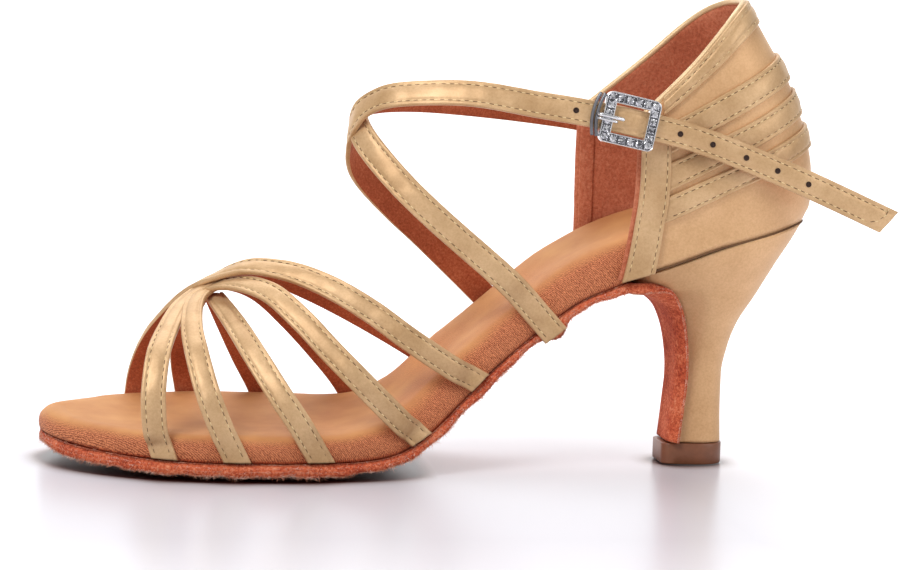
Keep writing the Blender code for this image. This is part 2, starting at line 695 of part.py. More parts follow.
def cup_front(side):
    """X of the cup's front edge on a side."""
    reach = CUP_DEPTH if side < 0 else CUP_DEPTH + CUP_INNER_REACH
    return x_of(0) + GAP + WALL - reach


def cup_point(share, side, z):
    """Point on the cup's wall. share: 0 at the back, 1 at the front edge."""
    front, back = cup_front(side), x_of(0) + GAP + WALL
    level = z / UPPER_HEIGHT
    x, y = edge(along_of(front) * share**CUP_PACKING, side, GAP + WALL)
    forward = (back - x) / (back - front)
    flare = clamp((CUP[3].level - level) / (CUP[3].level - CUP[0].level), 0, 1) ** 2
    low_front = front - (CUP_FLARE * flare if side < 0 else 0)
    moved_back = back + read(CUP, "back", level) * CUP_DEPTH
    return Vector((mix(moved_back, low_front, forward), y * read(CUP, "width", level), z))


def cup_floor(share, side):
    """Height of the cup's lower edge, which follows the insole's underside."""
    front = cup_front(side)
    along = along_of(front) * share**CUP_PACKING
    x, y = edge(along, side, GAP + WALL)
    return over_footbed(x, y, 0).z


def cup_lines(share, side):
    """Heights of the wall's rows at a column, and whether the wall is raised just above each."""
    reach = share**CUP_PACKING
    floor = cup_floor(share, side)
    lowest = mix(LINES[0].back, LINES[0].front, reach) * UPPER_HEIGHT
    rows = []
    for i in range(CUP_ROWS_BELOW):
        rows.append((mix(floor, lowest, i / CUP_ROWS_BELOW), False))
    raised = False
    for line in LINES:
        z = mix(line.back, line.front, reach**line.bend) * UPPER_HEIGHT
        rows.append((z, raised))
        if line is not LINES[-1]:
            rows.append((z, line.raised))
        raised = line.raised
    return rows


def make_counter():
    """Closed heel cup: a wall with bands that step out of it and fan from its outer front edge."""
    band_share = (1 - FRONT_BAND / CUP_DEPTH) ** (1 / CUP_PACKING)
    shares = [i / (CUP_COLUMNS - 1) for i in range(CUP_COLUMNS)]
    outer_side = [s for s in shares if s < band_share - 0.02] + [band_share, band_share, 1.0]
    columns = [(-1, s, i >= len(outer_side) - 2) for i, s in enumerate(outer_side)]
    columns = list(reversed(columns)) + [(1, s, False) for s in shares[1:]]
    inner, outer = [], []
    for side, share, front_band in columns:
        inner_line, outer_line = [], []
        for z, raised in cup_lines(share, side):
            out = cup_normal(share, side, z)
            point = cup_point(share, side, z)
            step = FRONT_STEP if front_band else BAND_STEP * raised
            inner_line.append(point - out * WALL)
            outer_line.append(point + out * step)
        inner.append(inner_line)
        outer.append(outer_line)
    return sheet_solid("counter", inner, outer)


def cup_normal(share, side, z):
    """Outward direction of the cup's wall."""
    reach = 0.015
    low, high = max(share - reach, 0), min(share + reach, 1)
    if share < reach:
        around = cup_point(reach, 1, z) - cup_point(reach, -1, z)
    else:
        around = (cup_point(high, side, z) - cup_point(low, side, z)) * side
    rising = cup_point(share, side, z + 0.001) - cup_point(share, side, z - 0.001)
    return rising.cross(around).normalized() * -1


# Straps


def ribbon(name, stations, thickness):
    """Flat strap through stations of (middle, across, face), across being as long as it is wide."""
    bevel = thickness * EDGE_BEVEL
    corners = (
        (-0.5, -0.5, 0, 1),
        (-0.5, -0.5, 1, 0),
        (0.5, -0.5, -1, 0),
        (0.5, -0.5, 0, 1),
        (0.5, 0.5, 0, -1),
        (0.5, 0.5, -1, 0),
        (-0.5, 0.5, 1, 0),
        (-0.5, 0.5, 0, -1),
    )
    rings = []
    for middle, across, face in stations:
        ring = []
        for a, b, inset_a, inset_b in corners:
            side = across * a + across.normalized() * inset_a * bevel
            ring.append(middle + side + face * (b * thickness + inset_b * bevel))
        rings.append(ring)
    return loft(name, rings)


def foot_points(foot, target, side, depth=-GAP):
    """Where a strap leaves the sole on its way to a point, and a point on its way past the insole."""
    outset = FOOT_GAP + STRAP_THICKNESS / 2
    start, up = over_footbed(*edge(foot, side, outset), 0), up_at(foot)
    run = Vector((target.x - start.x, 0, target.z - start.z))
    run = run / run.dot(up)
    points = []
    for rise in (-depth, INSOLE * 0.5):
        point = start + run * rise
        _, point.y = edge(along_of(point.x - up.x * rise), side, outset)
        points.append(point)
    return points


def sole_run(foot, side):
    """Direction of the insole's edge."""
    reach = 0.01
    ahead, behind = edge(foot + reach, side), edge(foot - reach, side)
    return (over_footbed(*ahead, 0) - over_footbed(*behind, 0)).normalized()


def foot_face(foot, side):
    """Direction out of the insole's side where a strap leaves the sole."""
    return sole_run(foot, side).cross(up_at(foot)).normalized() * side


def strap_stations(points, faces, widths, ends):
    """Stations of a strap; ends are the sole's directions where it starts and stops, or None."""
    count = (len(points) - 1) * ROUTE_STEPS
    places = [i / ROUTE_STEPS for i in range(count + 1)]
    middles = [through(points, place) for place in places]
    stations = []
    for i, place in enumerate(places):
        run = (middles[min(i + 1, count)] - middles[max(i - 1, 0)]).normalized()
        face = through(faces, place)
        face = (face - run * face.dot(run)).normalized()
        across = run.cross(face).normalized()
        width = through(widths, place)
        for end, direction in zip((0, count), ends):
            if direction:
                sheared = max(1 - (middles[i] - middles[end]).length / (SHEAR_REACH * width), 0)
                toward = direction * math.copysign(1, direction.dot(across))
                across = across.lerp(toward, sheared).normalized()
        across = across * (width / across.cross(run).length)
        stations.append((middles[i], across, face))
    return stations


def wrap_stations(strap):
    """Stations of a vamp strap from the outer side of the sole to the inner one."""
    rows = strap.rows
    middles, faces = [], []
    for row in rows:
        height = base_height(row.along) + row.height * VAMP_HEIGHT
        middles.append(Vector((x_of(row.along), row.side * BALL_WIDTH, height)))
        angle = math.radians(row.face)
        faces.append(Vector((-TOE_LEAN * math.sin(angle), -math.cos(angle), math.sin(angle))))
    outer = foot_points(strap.outer_foot, middles[0], -1)
    inner = foot_points(strap.inner_foot, middles[-1], 1)
    outer_face, inner_face = foot_face(strap.outer_foot, -1), foot_face(strap.inner_foot, 1)
    widths = [STRAP_WIDTH * (1 - KNOT_NARROWING * max(face.z, 0) ** 3) for face in faces]
    return strap_stations(
        [*outer, *middles, *reversed(inner)],
        [outer_face, outer_face, *faces, inner_face, inner_face],
        [STRAP_WIDTH, STRAP_WIDTH, *widths, STRAP_WIDTH, STRAP_WIDTH],
        (sole_run(strap.outer_foot, -1), sole_run(strap.inner_foot, 1)),
    )


def make_vamp(helpers):
    """Five straps from one side of the sole to the other, joined where they cross."""
    first, *others = [ribbon("strap_" + strap.name, wrap_stations(strap), STRAP_THICKNESS) for strap in VAMP]
    first.name = "vamp_straps"
    for band in others:
        helpers.append(band)
        cut(first, band, "UNION")
    return first


def route_stations(rows, foot, side, depth=-GAP):
    """Stations of an ankle strap from its foot on the sole through its rows."""
    middles, faces = [], [foot_face(foot, side)] * 2
    for row in rows:
        turn, lift = math.radians(row.turn), math.radians(row.lift)
        level = math.cos(lift)
        middles.append(Vector((x_of(row.along), row.side * BALL_WIDTH, row.height * UPPER_HEIGHT)))
        faces.append(Vector((-math.sin(turn) * level, -math.cos(turn) * level, math.sin(lift))))
    middles = foot_points(foot, middles[0], side, depth) + middles
    widths = [ANKLE_STRAP_WIDTH] * len(middles)
    return strap_stations(middles, faces, widths, (sole_run(foot, side), None))


def long_strap_stations():
    return route_stations(LONG_STRAP, LONG_FOOT, 1)


def place_on(stations, distance, start):
    """The strap's middle, run, across and face at a distance along it from a station."""
    i, left = start, abs(distance)
    step = 1 if distance >= 0 else -1
    while True:
        gap = (stations[i + step][0] - stations[i][0]).length
        if gap >= left:
            break
        left -= gap
        i += step
    a, b = stations[i], stations[i + step]
    middle = a[0].lerp(b[0], left / gap)
    run = (b[0] - a[0]).normalized() * step
    face = a[2].lerp(b[2], left / gap).normalized()
    return middle, run, run.cross(face).normalized(), face


def make_ankle_straps(helpers):
    """The two ankle straps, joined where they cross at the instep, with punched holes."""
    long_stations = long_strap_stations()
    straps = ribbon("ankle_straps", long_stations, STRAP_THICKNESS)
    short_stations = route_stations(SHORT_STRAP, SHORT_FOOT, -1, SHORT_REACH)
    short = ribbon("strap_short", short_stations, STRAP_THICKNESS)
    helpers.append(short)
    cut(straps, short, "UNION")
    for i in range(-HOLES_BEFORE, HOLES_AFTER + 1):
        if i == 0:
            continue
        distance = (i + math.copysign(0.5, i)) * HOLE_PITCH
        middle, run, across, face = place_on(long_stations, distance, BUCKLE_STATION)
        hole = make_pin("hole", HOLE_RADIUS, STRAP_THICKNESS * 3)
        hole.matrix_world = Matrix.Translation(middle) @ Matrix((run, across, face)).transposed().to_4x4()
        helpers.append(hole)
        cut(straps, hole)
    return straps


def make_pin(name, radius, length):
    bpy.ops.mesh.primitive_cylinder_add(vertices=10, radius=radius, depth=length)
    pin = bpy.context.object
    pin.name = name
    bpy.context.collection.objects.unlink(pin)
    return pin


# Buckle


def buckle_frame_matrix():
    """Placement of the buckle: X along the strap, Y across it, Z out of it."""
    middle, across, face = long_strap_stations()[BUCKLE_STATION]
    across = across.normalized()
    turn = Matrix((face.cross(across), across, face)).transposed().to_4x4()
    rise = STRAP_THICKNESS / 2 + GAP + BUCKLE_THICKNESS / 2
    return Matrix.Translation(middle + face * rise) @ turn


def make_box(name, size, place):
    bpy.ops.mesh.primitive_cube_add(size=1)
    box = bpy.context.object
    box.name = name
    box.data.transform(Matrix.Diagonal((*size, 1)))
    box.matrix_world = place
    bpy.context.collection.objects.unlink(box)
    return box


def make_buckle(helpers):
    """Square frame with a window."""
    place = buckle_frame_matrix()
    frame = make_box("buckle_frame", (BUCKLE_LENGTH, BUCKLE_WIDTH, BUCKLE_THICKNESS), place)
    hole_size = (BUCKLE_LENGTH - 2 * BUCKLE_RIM, BUCKLE_WIDTH - 2 * BUCKLE_RIM, BUCKLE_THICKNESS * 3)
    window = make_box("buckle_window", hole_size, place)
    helpers.append(window)
    cut(frame, window)
    bevel = frame.modifiers.new("soft_edges", "BEVEL")
    bevel.width = 0.0004
    bevel.segments = 2
    bevel.limit_method = "ANGLE"
    return frame


def make_tube(name, path, radius):
    """Round wire through points, with closed ends."""
    curve = bpy.data.curves.new(name, "CURVE")
    curve.dimensions = "3D"
    curve.bevel_depth = radius
    curve.bevel_resolution = 2
    curve.use_fill_caps = True
    line = curve.splines.new("POLY")
    line.points.add(len(path) - 1)
    for point, place in zip(line.points, path):
        point.co = (*place, 1)
    holder = bpy.data.objects.new(name, curve)
    bpy.context.scene.collection.objects.link(holder)
    mesh = bpy.data.meshes.new_from_object(holder.evaluated_get(bpy.context.evaluated_depsgraph_get()))
    bpy.data.objects.remove(holder)
    return finish_mesh(bpy.data.objects.new(name, mesh), mesh)


def make_prong(helpers):
    """Curved bar at the buckle's toe end and the prong that lies over its rim into the window."""
    place = buckle_frame_matrix()
    left = -BUCKLE_LENGTH / 2 - GAP - BUCKLE_BAR
    half = BUCKLE_WIDTH * 0.42
    arc = []
    for i in range(9):
        share = i / 4 - 1
        arc.append(place @ Vector((left - BUCKLE_BULGE * (1 - share**2), share * half, 0)))
    bar = make_tube("buckle_prong", arc, BUCKLE_BAR)
    over = BUCKLE_THICKNESS / 2 + GAP + PRONG_RADIUS
    window = -BUCKLE_LENGTH / 2 + BUCKLE_RIM
    path = (
        Vector((left - BUCKLE_BULGE, 0, 0)),
        Vector((left - BUCKLE_BULGE * 0.4, 0, over)),
        Vector((window + PRONG_RADIUS, 0, over)),
        Vector((window + PRONG_RADIUS * 5, 0, over * 0.8)),
    )
    prong = make_tube("prong", [place @ point for point in path], PRONG_RADIUS)
    helpers.append(prong)
    cut(bar, prong, "UNION")
    return bar


def make_material(finish):
    material = bpy.data.materials.new(finish.name)
    material.use_nodes = True
    shader = material.node_tree.nodes["Principled BSDF"]
    shader.inputs["Base Color"].default_value = (*finish.colour, 1)
    shader.inputs["Roughness"].default_value = finish.roughness
    shader.inputs["Metallic"].default_value = finish.metallic
    material.diffuse_color = (*finish.colour, 1)
    return material


def main():
    for obj in list(bpy.data.objects):
        bpy.data.objects.remove(obj)
    shoe = bpy.data.collections.new("ballroom_dance_shoe")
    cutters = bpy.data.collections.new("cutters")
    bpy.context.scene.collection.children.link(shoe)
    bpy.context.scene.collection.children.link(cutters)
    helpers = []
    heel = make_heel()
    helpers.append(make_sole_cutter())
    cut(heel, helpers[-1])
    pieces = (
        (make_outsole(), SUEDE),
        (make_insole(), PADDING),
        (heel, SATIN),
        (make_heel_tip(), TIP_PLASTIC),
        (make_counter(), SATIN),
        (make_vamp(helpers), SATIN),
        (make_ankle_straps(helpers), SATIN),
        (make_buckle(helpers), METAL),
        (make_prong(helpers), METAL),
    )
    root = bpy.data.objects.new("shoe", None)
    shoe.objects.link(root)
    for obj, finish in pieces:
        obj.data.materials.clear()
        obj.data.materials.append(make_material(finish))
        shoe.objects.link(obj)
        obj.parent = root
    for helper in helpers:
        cutters.objects.link(helper)
        helper.hide_render = True
        helper.display_type = "WIRE"


main()
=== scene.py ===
# Looks of the ballroom dance shoe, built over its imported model.

import math
import random
from collections import namedtuple

import bmesh
import bpy
from mathutils import Matrix, Vector, noise


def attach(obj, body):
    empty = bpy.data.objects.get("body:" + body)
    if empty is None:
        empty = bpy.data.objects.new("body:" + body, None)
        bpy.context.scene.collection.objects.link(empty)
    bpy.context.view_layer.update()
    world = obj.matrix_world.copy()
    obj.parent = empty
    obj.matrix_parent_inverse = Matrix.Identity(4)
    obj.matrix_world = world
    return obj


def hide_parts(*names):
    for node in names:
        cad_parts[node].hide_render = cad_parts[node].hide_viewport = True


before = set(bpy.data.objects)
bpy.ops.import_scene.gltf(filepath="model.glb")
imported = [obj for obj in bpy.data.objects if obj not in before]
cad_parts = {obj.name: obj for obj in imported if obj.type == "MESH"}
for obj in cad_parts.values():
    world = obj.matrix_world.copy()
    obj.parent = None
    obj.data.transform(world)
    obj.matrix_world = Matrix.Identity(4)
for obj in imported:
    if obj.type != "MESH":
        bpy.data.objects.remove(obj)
bpy.context.scene.view_settings.view_transform = "Standard"
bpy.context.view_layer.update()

# Sizes of the model, in metres
LENGTH = 0.2235
HEEL_OVERHANG = 0.0285
BALL_WIDTH = 0.070
SEAT_WIDTH = 0.045
SEAT_RISE = 0.0692
TOE_SPRING = 0.0046
INNER_BOW = 0.0024
OUTER_BOW = 0.0012
OUTSOLE = 0.0034
BREAST_FLAP = 0.0015
WELT = 0.0014
INSOLE = 0.0082
INNER_RISE = 0.0020
VAMP_HEIGHT = 0.058
STRAP_WIDTH = 0.0070
STRAP_THICKNESS = 0.0015
ANKLE_STRAP_WIDTH = 0.0078
UPPER_HEIGHT = 0.1390
WALL = 0.0016
FRONT_BAND = 0.0088
TIP_HEIGHT = 0.0064
TIP_LENGTH = 0.0195
TIP_WIDTH = 0.0163
TIP_MARGIN = 0.0007
BUCKLE_LENGTH = 0.0162
BUCKLE_WIDTH = 0.0148
BUCKLE_THICKNESS = 0.0018
BUCKLE_RIM = 0.0031
HOLE_RADIUS = 0.0009
HOLE_PITCH = 0.0104
GAP = 0.0003
FOOT_GAP = 0.0005

BACK_ROUND = 0.125
TOE_ROUND = 0.20
ROUND_POWER = 2.35
SHANK_END = 0.236
FLAT_SHARE = 0.45
SLOPE_REACH = 0.004
SEAT_END = 0.20
BALL_START = 0.55
HEEL_BACK_ROUND = 1.15
HEEL_FRONT_CORNER = 0.35
CUP_PACKING = 1.8


def table(row_kind, *rows):
    """Rows of numbers with named columns."""
    return tuple(row_kind(*row) for row in rows)


Footbed = namedtuple("Footbed", "along rise spring bow outer inner pad welt sole")
FOOTBED = table(
    Footbed,
    (-0.20, 1.091, 0.00, 0.00, 0.643, 0.643, 1.10, 0.3, 1.00),
    (0.000, 1.019, 0.00, 0.00, 0.643, 0.643, 1.10, 0.3, 1.00),
    (0.049, 0.977, 0.00, 0.00, 0.643, 0.643, 1.16, 0.3, 1.00),
    (0.116, 0.917, 0.00, 0.00, 0.643, 0.643, 1.30, 0.3, 1.00),
    (0.176, 0.840, 0.00, 0.00, 0.643, 0.640, 1.52, 0.3, 1.00),
    (0.218, 0.790, 0.00, 0.00, 0.640, 0.625, 1.56, 0.3, 0.95),
    (0.259, 0.737, 0.00, 0.00, 0.634, 0.597, 1.51, 0.1, 0.74),
    (0.301, 0.676, 0.00, 0.10, 0.631, 0.560, 1.38, 0.0, 0.64),
    (0.334, 0.602, 0.00, 0.20, 0.634, 0.530, 1.30, 0.0, 0.62),
    (0.366, 0.521, 0.00, 0.30, 0.648, 0.508, 1.25, 0.0, 0.64),
    (0.403, 0.420, 0.00, 0.35, 0.678, 0.498, 1.24, 0.1, 0.67),
    (0.429, 0.342, 0.00, 0.42, 0.710, 0.500, 1.29, 0.2, 0.67),
    (0.453, 0.263, 0.00, 0.48, 0.750, 0.510, 1.34, 0.4, 0.66),
    (0.506, 0.103, 0.00, 0.60, 0.860, 0.560, 1.35, 0.7, 0.66),
    (0.551, 0.025, 0.00, 0.76, 0.957, 0.615, 1.24, 0.9, 0.75),
    (0.590, 0.005, 0.00, 0.88, 1.030, 0.675, 1.10, 1.0, 0.88),
    (0.627, 0.000, 0.00, 1.00, 1.086, 0.743, 1.00, 1.0, 1.00),
    (0.703, 0.000, 0.00, 1.00, 1.157, 0.829, 0.98, 1.0, 1.00),
    (0.780, 0.000, 0.00, 1.00, 1.137, 0.829, 0.98, 1.0, 1.00),
    (0.847, 0.000, 0.10, 0.90, 1.057, 0.757, 0.97, 1.0, 1.00),
    (0.915, 0.000, 0.36, 0.60, 0.929, 0.650, 0.92, 0.8, 1.00),
    (0.960, 0.000, 0.66, 0.40, 0.829, 0.560, 0.86, 0.3, 1.00),
    (1.000, 0.000, 1.00, 0.25, 0.743, 0.480, 0.80, -0.7, 0.60),
)

Breast = namedtuple("Breast", "reach level half wrap thick")
BREAST = table(
    Breast,
    (-1.16, 0.800, 0.515, 0.04, 0.15),
    (-0.93, 0.785, 0.470, 0.09, 0.25),
    (-0.70, 0.750, 0.400, 0.14, 0.55),
    (-0.50, 0.692, 0.325, 0.12, 0.90),
    (-0.38, 0.610, 0.270, 0.11, 1.00),
    (-0.31, 0.510, 0.228, 0.11, 1.00),
    (-0.28, 0.390, 0.202, 0.11, 1.00),
    (-0.32, 0.240, 0.190, 0.11, 1.00),
    (-0.365, 0.100, 0.187, 0.11, 1.00),
)

Heel = namedtuple("Heel", "level back front half front_half tilt")
HEEL = table(
    Heel,
    (0.000, 0.480, -0.60, 0.465, 0.430, 0.0),
    (0.170, 0.458, -0.60, 0.475, 0.440, 0.0),
    (0.350, 0.452, -0.60, 0.520, 0.460, 0.0),
    (0.490, 0.522, -0.60, 0.640, 0.530, 0.0),
    (0.620, 0.655, -0.75, 0.835, 0.680, 0.0),
    (0.740, 0.905, -0.95, 1.070, 0.890, 0.2),
    (0.860, 1.200, -1.12, 1.300, 1.110, 0.6),
    (0.940, 1.430, -1.22, 1.430, 1.290, 0.85),
    (1.000, 1.575, -1.25, 1.490, 1.400, 1.0),
)

Cup = namedtuple("Cup", "level back width")
CUP = table(
    Cup,
    (0.380, 0.000, 1.000),
    (0.530, 0.005, 1.000),
    (0.575, 0.048, 1.035),
    (0.640, 0.046, 1.050),
    (0.705, 0.016, 1.030),
    (0.777, -0.046, 0.985),
    (0.849, -0.125, 0.935),
    (0.921, -0.240, 0.870),
    (1.000, -0.368, 0.790),
)
CUP_DEPTH = 0.0545
CUP_INNER_REACH = 0.0085
CUP_FLARE = 0.0050
Line = namedtuple("Line", "back front bend")
BANDS = (
    (Line(0.702, 0.499, 1.0), Line(0.746, 0.561, 1.0)),
    (Line(0.770, 0.567, 1.0), Line(0.819, 0.630, 1.0)),
    (Line(0.842, 0.645, 1.05), Line(0.890, 0.710, 1.1)),
    (Line(0.956, 0.716, 1.32), Line(1.000, 0.752, 1.4)),
)
TOPLINE = BANDS[-1][1]

Wrap = namedtuple("Wrap", "along side height face")
FRONT_WRAP = table(
    Wrap,
    (0.856, -0.557, 0.167, 3),
    (0.859, -0.543, 0.335, 12),
    (0.853, -0.457, 0.516, 30),
    (0.840, -0.314, 0.620, 50),
    (0.819, -0.143, 0.725, 70),
    (0.785, -0.043, 0.820, 88),
    (0.747, 0.000, 0.871, 100),
    (0.711, 0.057, 0.867, 115),
    (0.657, 0.157, 0.791, 135),
    (0.600, 0.229, 0.687, 150),
    (0.542, 0.279, 0.531, 162),
    (0.488, 0.286, 0.273, 172),
)
SECOND_WRAP = table(
    Wrap,
    (0.774, -0.593, 0.190, 3),
    (0.791, -0.571, 0.352, 12),
    (0.804, -0.471, 0.528, 30),
    (0.809, -0.314, 0.654, 50),
    (0.801, -0.143, 0.756, 72),
    (0.776, -0.043, 0.807, 90),
    (0.745, 0.043, 0.801, 105),
    (0.708, 0.114, 0.744, 120),
    (0.667, 0.229, 0.609, 140),
    (0.629, 0.321, 0.459, 155),
    (0.591, 0.350, 0.283, 170),
)
MIDDLE_WRAP = table(
    Wrap,
    (0.676, -0.593, 0.217, 3),
    (0.701, -0.557, 0.355, 10),
    (0.731, -0.443, 0.531, 25),
    (0.752, -0.286, 0.653, 45),
    (0.772, -0.114, 0.750, 70),
    (0.774, 0.000, 0.747, 92),
    (0.754, 0.171, 0.602, 128),
    (0.727, 0.343, 0.403, 150),
    (0.702, 0.429, 0.228, 170),
)
FOURTH_WRAP = table(
    Wrap,
    (0.546, -0.507, 0.191, 4),
    (0.600, -0.543, 0.425, 8),
    (0.637, -0.486, 0.567, 15),
    (0.673, -0.400, 0.701, 25),
    (0.709, -0.286, 0.804, 40),
    (0.745, -0.171, 0.833, 60),
    (0.777, -0.071, 0.801, 82),
    (0.796, 0.057, 0.714, 105),
    (0.810, 0.229, 0.543, 140),
    (0.808, 0.371, 0.364, 160),
    (0.800, 0.421, 0.194, 172),
)
REAR_WRAP = table(
    Wrap,
    (0.477, -0.421, 0.258, 6),
    (0.533, -0.443, 0.560, 12),
    (0.583, -0.386, 0.741, 18),
    (0.633, -0.314, 0.853, 28),
    (0.683, -0.229, 0.917, 42),
    (0.734, -0.129, 0.926, 60),
    (0.774, -0.057, 0.867, 80),
    (0.806, 0.014, 0.778, 100),
    (0.839, 0.143, 0.593, 125),
    (0.855, 0.257, 0.450, 145),
    (0.865, 0.329, 0.304, 160),
    (0.869, 0.357, 0.182, 172),
)
Strap = namedtuple("Strap", "name outer_foot rows inner_foot")
VAMP = (
    Strap("front", 0.841, FRONT_WRAP, 0.450),
    Strap("second", 0.752, SECOND_WRAP, 0.557),
    Strap("middle", 0.647, MIDDLE_WRAP, 0.689),
    Strap("fourth", 0.515, FOURTH_WRAP, 0.798),
    Strap("rear", 0.437, REAR_WRAP, 0.871),
)
KNOT_NARROWING = 0.22
TOE_LEAN = 0.22
SHEAR_REACH = 1.6

Route = namedtuple("Route", "along side height turn lift")
LONG_STRAP = table(
    Route,
    (0.409, 0.264, 0.351, 172, 6),
    (0.451, 0.250, 0.414, 164, 10),
    (0.494, 0.229, 0.477, 152, 14),
    (0.530, 0.200, 0.527, 140, 18),
    (0.573, 0.125, 0.592, 120, 20),
    (0.594, 0.057, 0.636, 102, 22),
    (0.602, -0.014, 0.679, 82, 24),
    (0.600, -0.093, 0.723, 62, 26),
    (0.586, -0.150, 0.757, 48, 30),
    (0.550, -0.243, 0.782, 32, 30),
    (0.464, -0.357, 0.791, 18, 26),
    (0.376, -0.414, 0.773, 8, 18),
    (0.312, -0.443, 0.759, 2, 10),
    (0.259, -0.443, 0.744, 0, 4),
    (0.178, -0.436, 0.716, -2, 2),
    (0.104, -0.429, 0.677, -4, 0),
    (0.013, -0.421, 0.621, -6, 0),
    (-0.097, -0.400, 0.547, -10, -2),
)
SHORT_STRAP = table(
    Route,
    (0.384, -0.352, 0.372, 4, 4),
    (0.414, -0.375, 0.417, 8, 12),
    (0.498, -0.357, 0.529, 20, 22),
    (0.548, -0.286, 0.605, 36, 30),
    (0.585, -0.171, 0.678, 58, 30),
    (0.594, -0.071, 0.719, 84, 32),
    (0.583, 0.014, 0.743, 108, 34),
    (0.555, 0.114, 0.758, 132, 36),
    (0.490, 0.200, 0.763, 152, 26),
    (0.390, 0.285, 0.753, 166, 16),
    (0.300, 0.352, 0.738, 174, 8),
    (0.258, 0.372, 0.728, 176, 6),
)
LONG_FOOT = 0.369
SHORT_FOOT = 0.349
SHORT_REACH = 0.0039
Sag = namedtuple("Sag", "along depth reach")
SAGS = (Sag(0.343, 0.0028, 0.022), Sag(0.424, 0.0003, 0.036), Sag(0.500, 0.0003, 0.028))
BUCKLE_ROW = 13
END_SLANT = 0.0027
UPRIGHT_SLANT = 0.003

HALF_BALL = BALL_WIDTH / 2
SOLE_BASE = OUTSOLE + GAP
STITCH_PITCH = 0.00245
STITCH_INSET = 0.00135
FOURTH_LIFT = 0.0007
STITCH_LEVEL = 0.40  # height of a stitch row, as a share of the strap's thickness
STITCH_DIP = 0.00010
PUCKER_DIP = 0.00012
RIPPLE = 0.00014
ROW_END = 0.001
SLANT_REACH = 0.012
BUCKLE_BULGE = 0.0007
STATION_SPACING = 0.0006
CURVE_STEPS = 24
CURVE_REACH = 0.06
CUP_STEPS = 46
BAND_THICKNESS = 0.0013
BAND_LIFT = 0.00035
UPRIGHT_THICKNESS = 0.0016
UPRIGHT_LIFT = 0.0009
PIPING_RADIUS = 0.0010
BINDING_WIDTH = 0.0044
SEAM_RADIUS = 0.00032
SUEDE_SINK = 0.0005
DISH = 0.0009
INNER_LIFT = 0.0007


# Curves and the footbed, as the model has them


def clamp(value, low, high):
    return max(low, min(high, value))


def mix(a, b, share):
    return a + (b - a) * share


def smooth(value, low, high):
    t = clamp((value - low) / (high - low), 0, 1)
    return t * t * (3 - 2 * t)


def read(rows, column, at):
    places = [row[0] for row in rows]
    values = [getattr(row, column) for row in rows]
    at = clamp(at, places[0], places[-1])
    i = max(k for k in range(len(rows) - 1) if places[k] <= at)
    steps = [b - a for a, b in zip(places, places[1:])]
    slopes = [(b - a) / step for a, b, step in zip(values, values[1:], steps)]

    def tangent(k):
        if k == 0 or k == len(rows) - 1:
            return slopes[min(k, len(slopes) - 1)]
        before, after = slopes[k - 1], slopes[k]
        if before * after <= 0:
            return 0.0
        return 2 * before * after / (before + after)

    step, share = steps[i], (at - places[i]) / steps[i]
    start = values[i] * (1 + 2 * share) * (1 - share) ** 2 + step * tangent(i) * share * (1 - share) ** 2
    end = values[i + 1] * (3 - 2 * share) * share**2 - step * tangent(i + 1) * share**2 * (1 - share)
    return start + end


def through(values, at):
    last = len(values) - 1
    i = int(clamp(math.floor(at), 0, last - 1))
    share = at - i
    b, c = values[i], values[i + 1]
    a = values[i - 1] if i > 0 else b * 2 - c
    d = values[i + 2] if i + 2 <= last else c * 2 - b
    cubic = (b - c) * 3 + d - a
    square = a * 2 - b * 5 + c * 4 - d
    return b + ((c - a) + (square + cubic * share) * share) * (share * 0.5)


def x_of(along):
    return HEEL_OVERHANG - along * LENGTH


def along_of(x):
    return (HEEL_OVERHANG - x) / LENGTH


def base_height(along):
    rise = read(FOOTBED, "rise", along) * SEAT_RISE
    return SOLE_BASE + rise + read(FOOTBED, "spring", along) * TOE_SPRING


def up_at(along):
    ahead, behind = base_height(along + SLOPE_REACH), base_height(along - SLOPE_REACH)
    slope = (ahead - behind) / (2 * SLOPE_REACH * LENGTH)
    return Vector((slope, 0, 1)).normalized()


def rounding(along):
    share = 1.0
    if along < BACK_ROUND:
        share = 1 - (1 - max(along, 0) / BACK_ROUND) ** ROUND_POWER
    if along > 1 - TOE_ROUND:
        share = 1 - ((min(along, 1) - 1 + TOE_ROUND) / TOE_ROUND) ** ROUND_POWER
    return max(share, 0) ** (1 / ROUND_POWER)


def half_width(along, side):
    column = "outer" if side < 0 else "inner"
    at_ball = read(FOOTBED, column, along)
    at_seat = FOOTBED[1].outer
    heel_part = clamp((BALL_START - along) / (BALL_START - SEAT_END), 0, 1)
    seat_scale = SEAT_WIDTH / (2 * at_seat * HALF_BALL)
    return at_ball * HALF_BALL * mix(1, seat_scale, heel_part) * rounding(along)


def edge(along, side, outset=0.0):
    x, y = x_of(along), side * half_width(along, side)
    if along <= 0 or along >= 1:
        return x + (outset if along <= 0 else -outset), 0.0
    reach = min(0.002, along / 2, (1 - along) / 2)
    run = -2 * reach * LENGTH
    rise = side * (half_width(along + reach, side) - half_width(along - reach, side))
    size = math.hypot(run, rise)
    return x + side * outset * rise / size, y - side * outset * run / size


def over_footbed(x, y, up):
    along = along_of(x)
    side = -1 if y < 0 else 1
    half = max(half_width(clamp(along, 0.08, 0.92), side), 0.001)
    beyond = clamp((abs(y) / half - FLAT_SHARE) / (1 - FLAT_SHARE), 0, 1.2)
    bow = read(FOOTBED, "bow", along) * (OUTER_BOW if side < 0 else INNER_BOW) * beyond**2
    return Vector((x, y, base_height(along) + bow)) + up_at(along) * up


def pad(along, side_share):
    return read(FOOTBED, "pad", along) * INSOLE + INNER_RISE * (side_share + 1) / 2


def ends_packed(count, low=0.0, high=1.0):
    return [mix(low, high, (1 - math.cos(math.pi * i / (count - 1))) / 2) for i in range(count)]


# Materials

WHITE = (1.0, 1.0, 1.0)


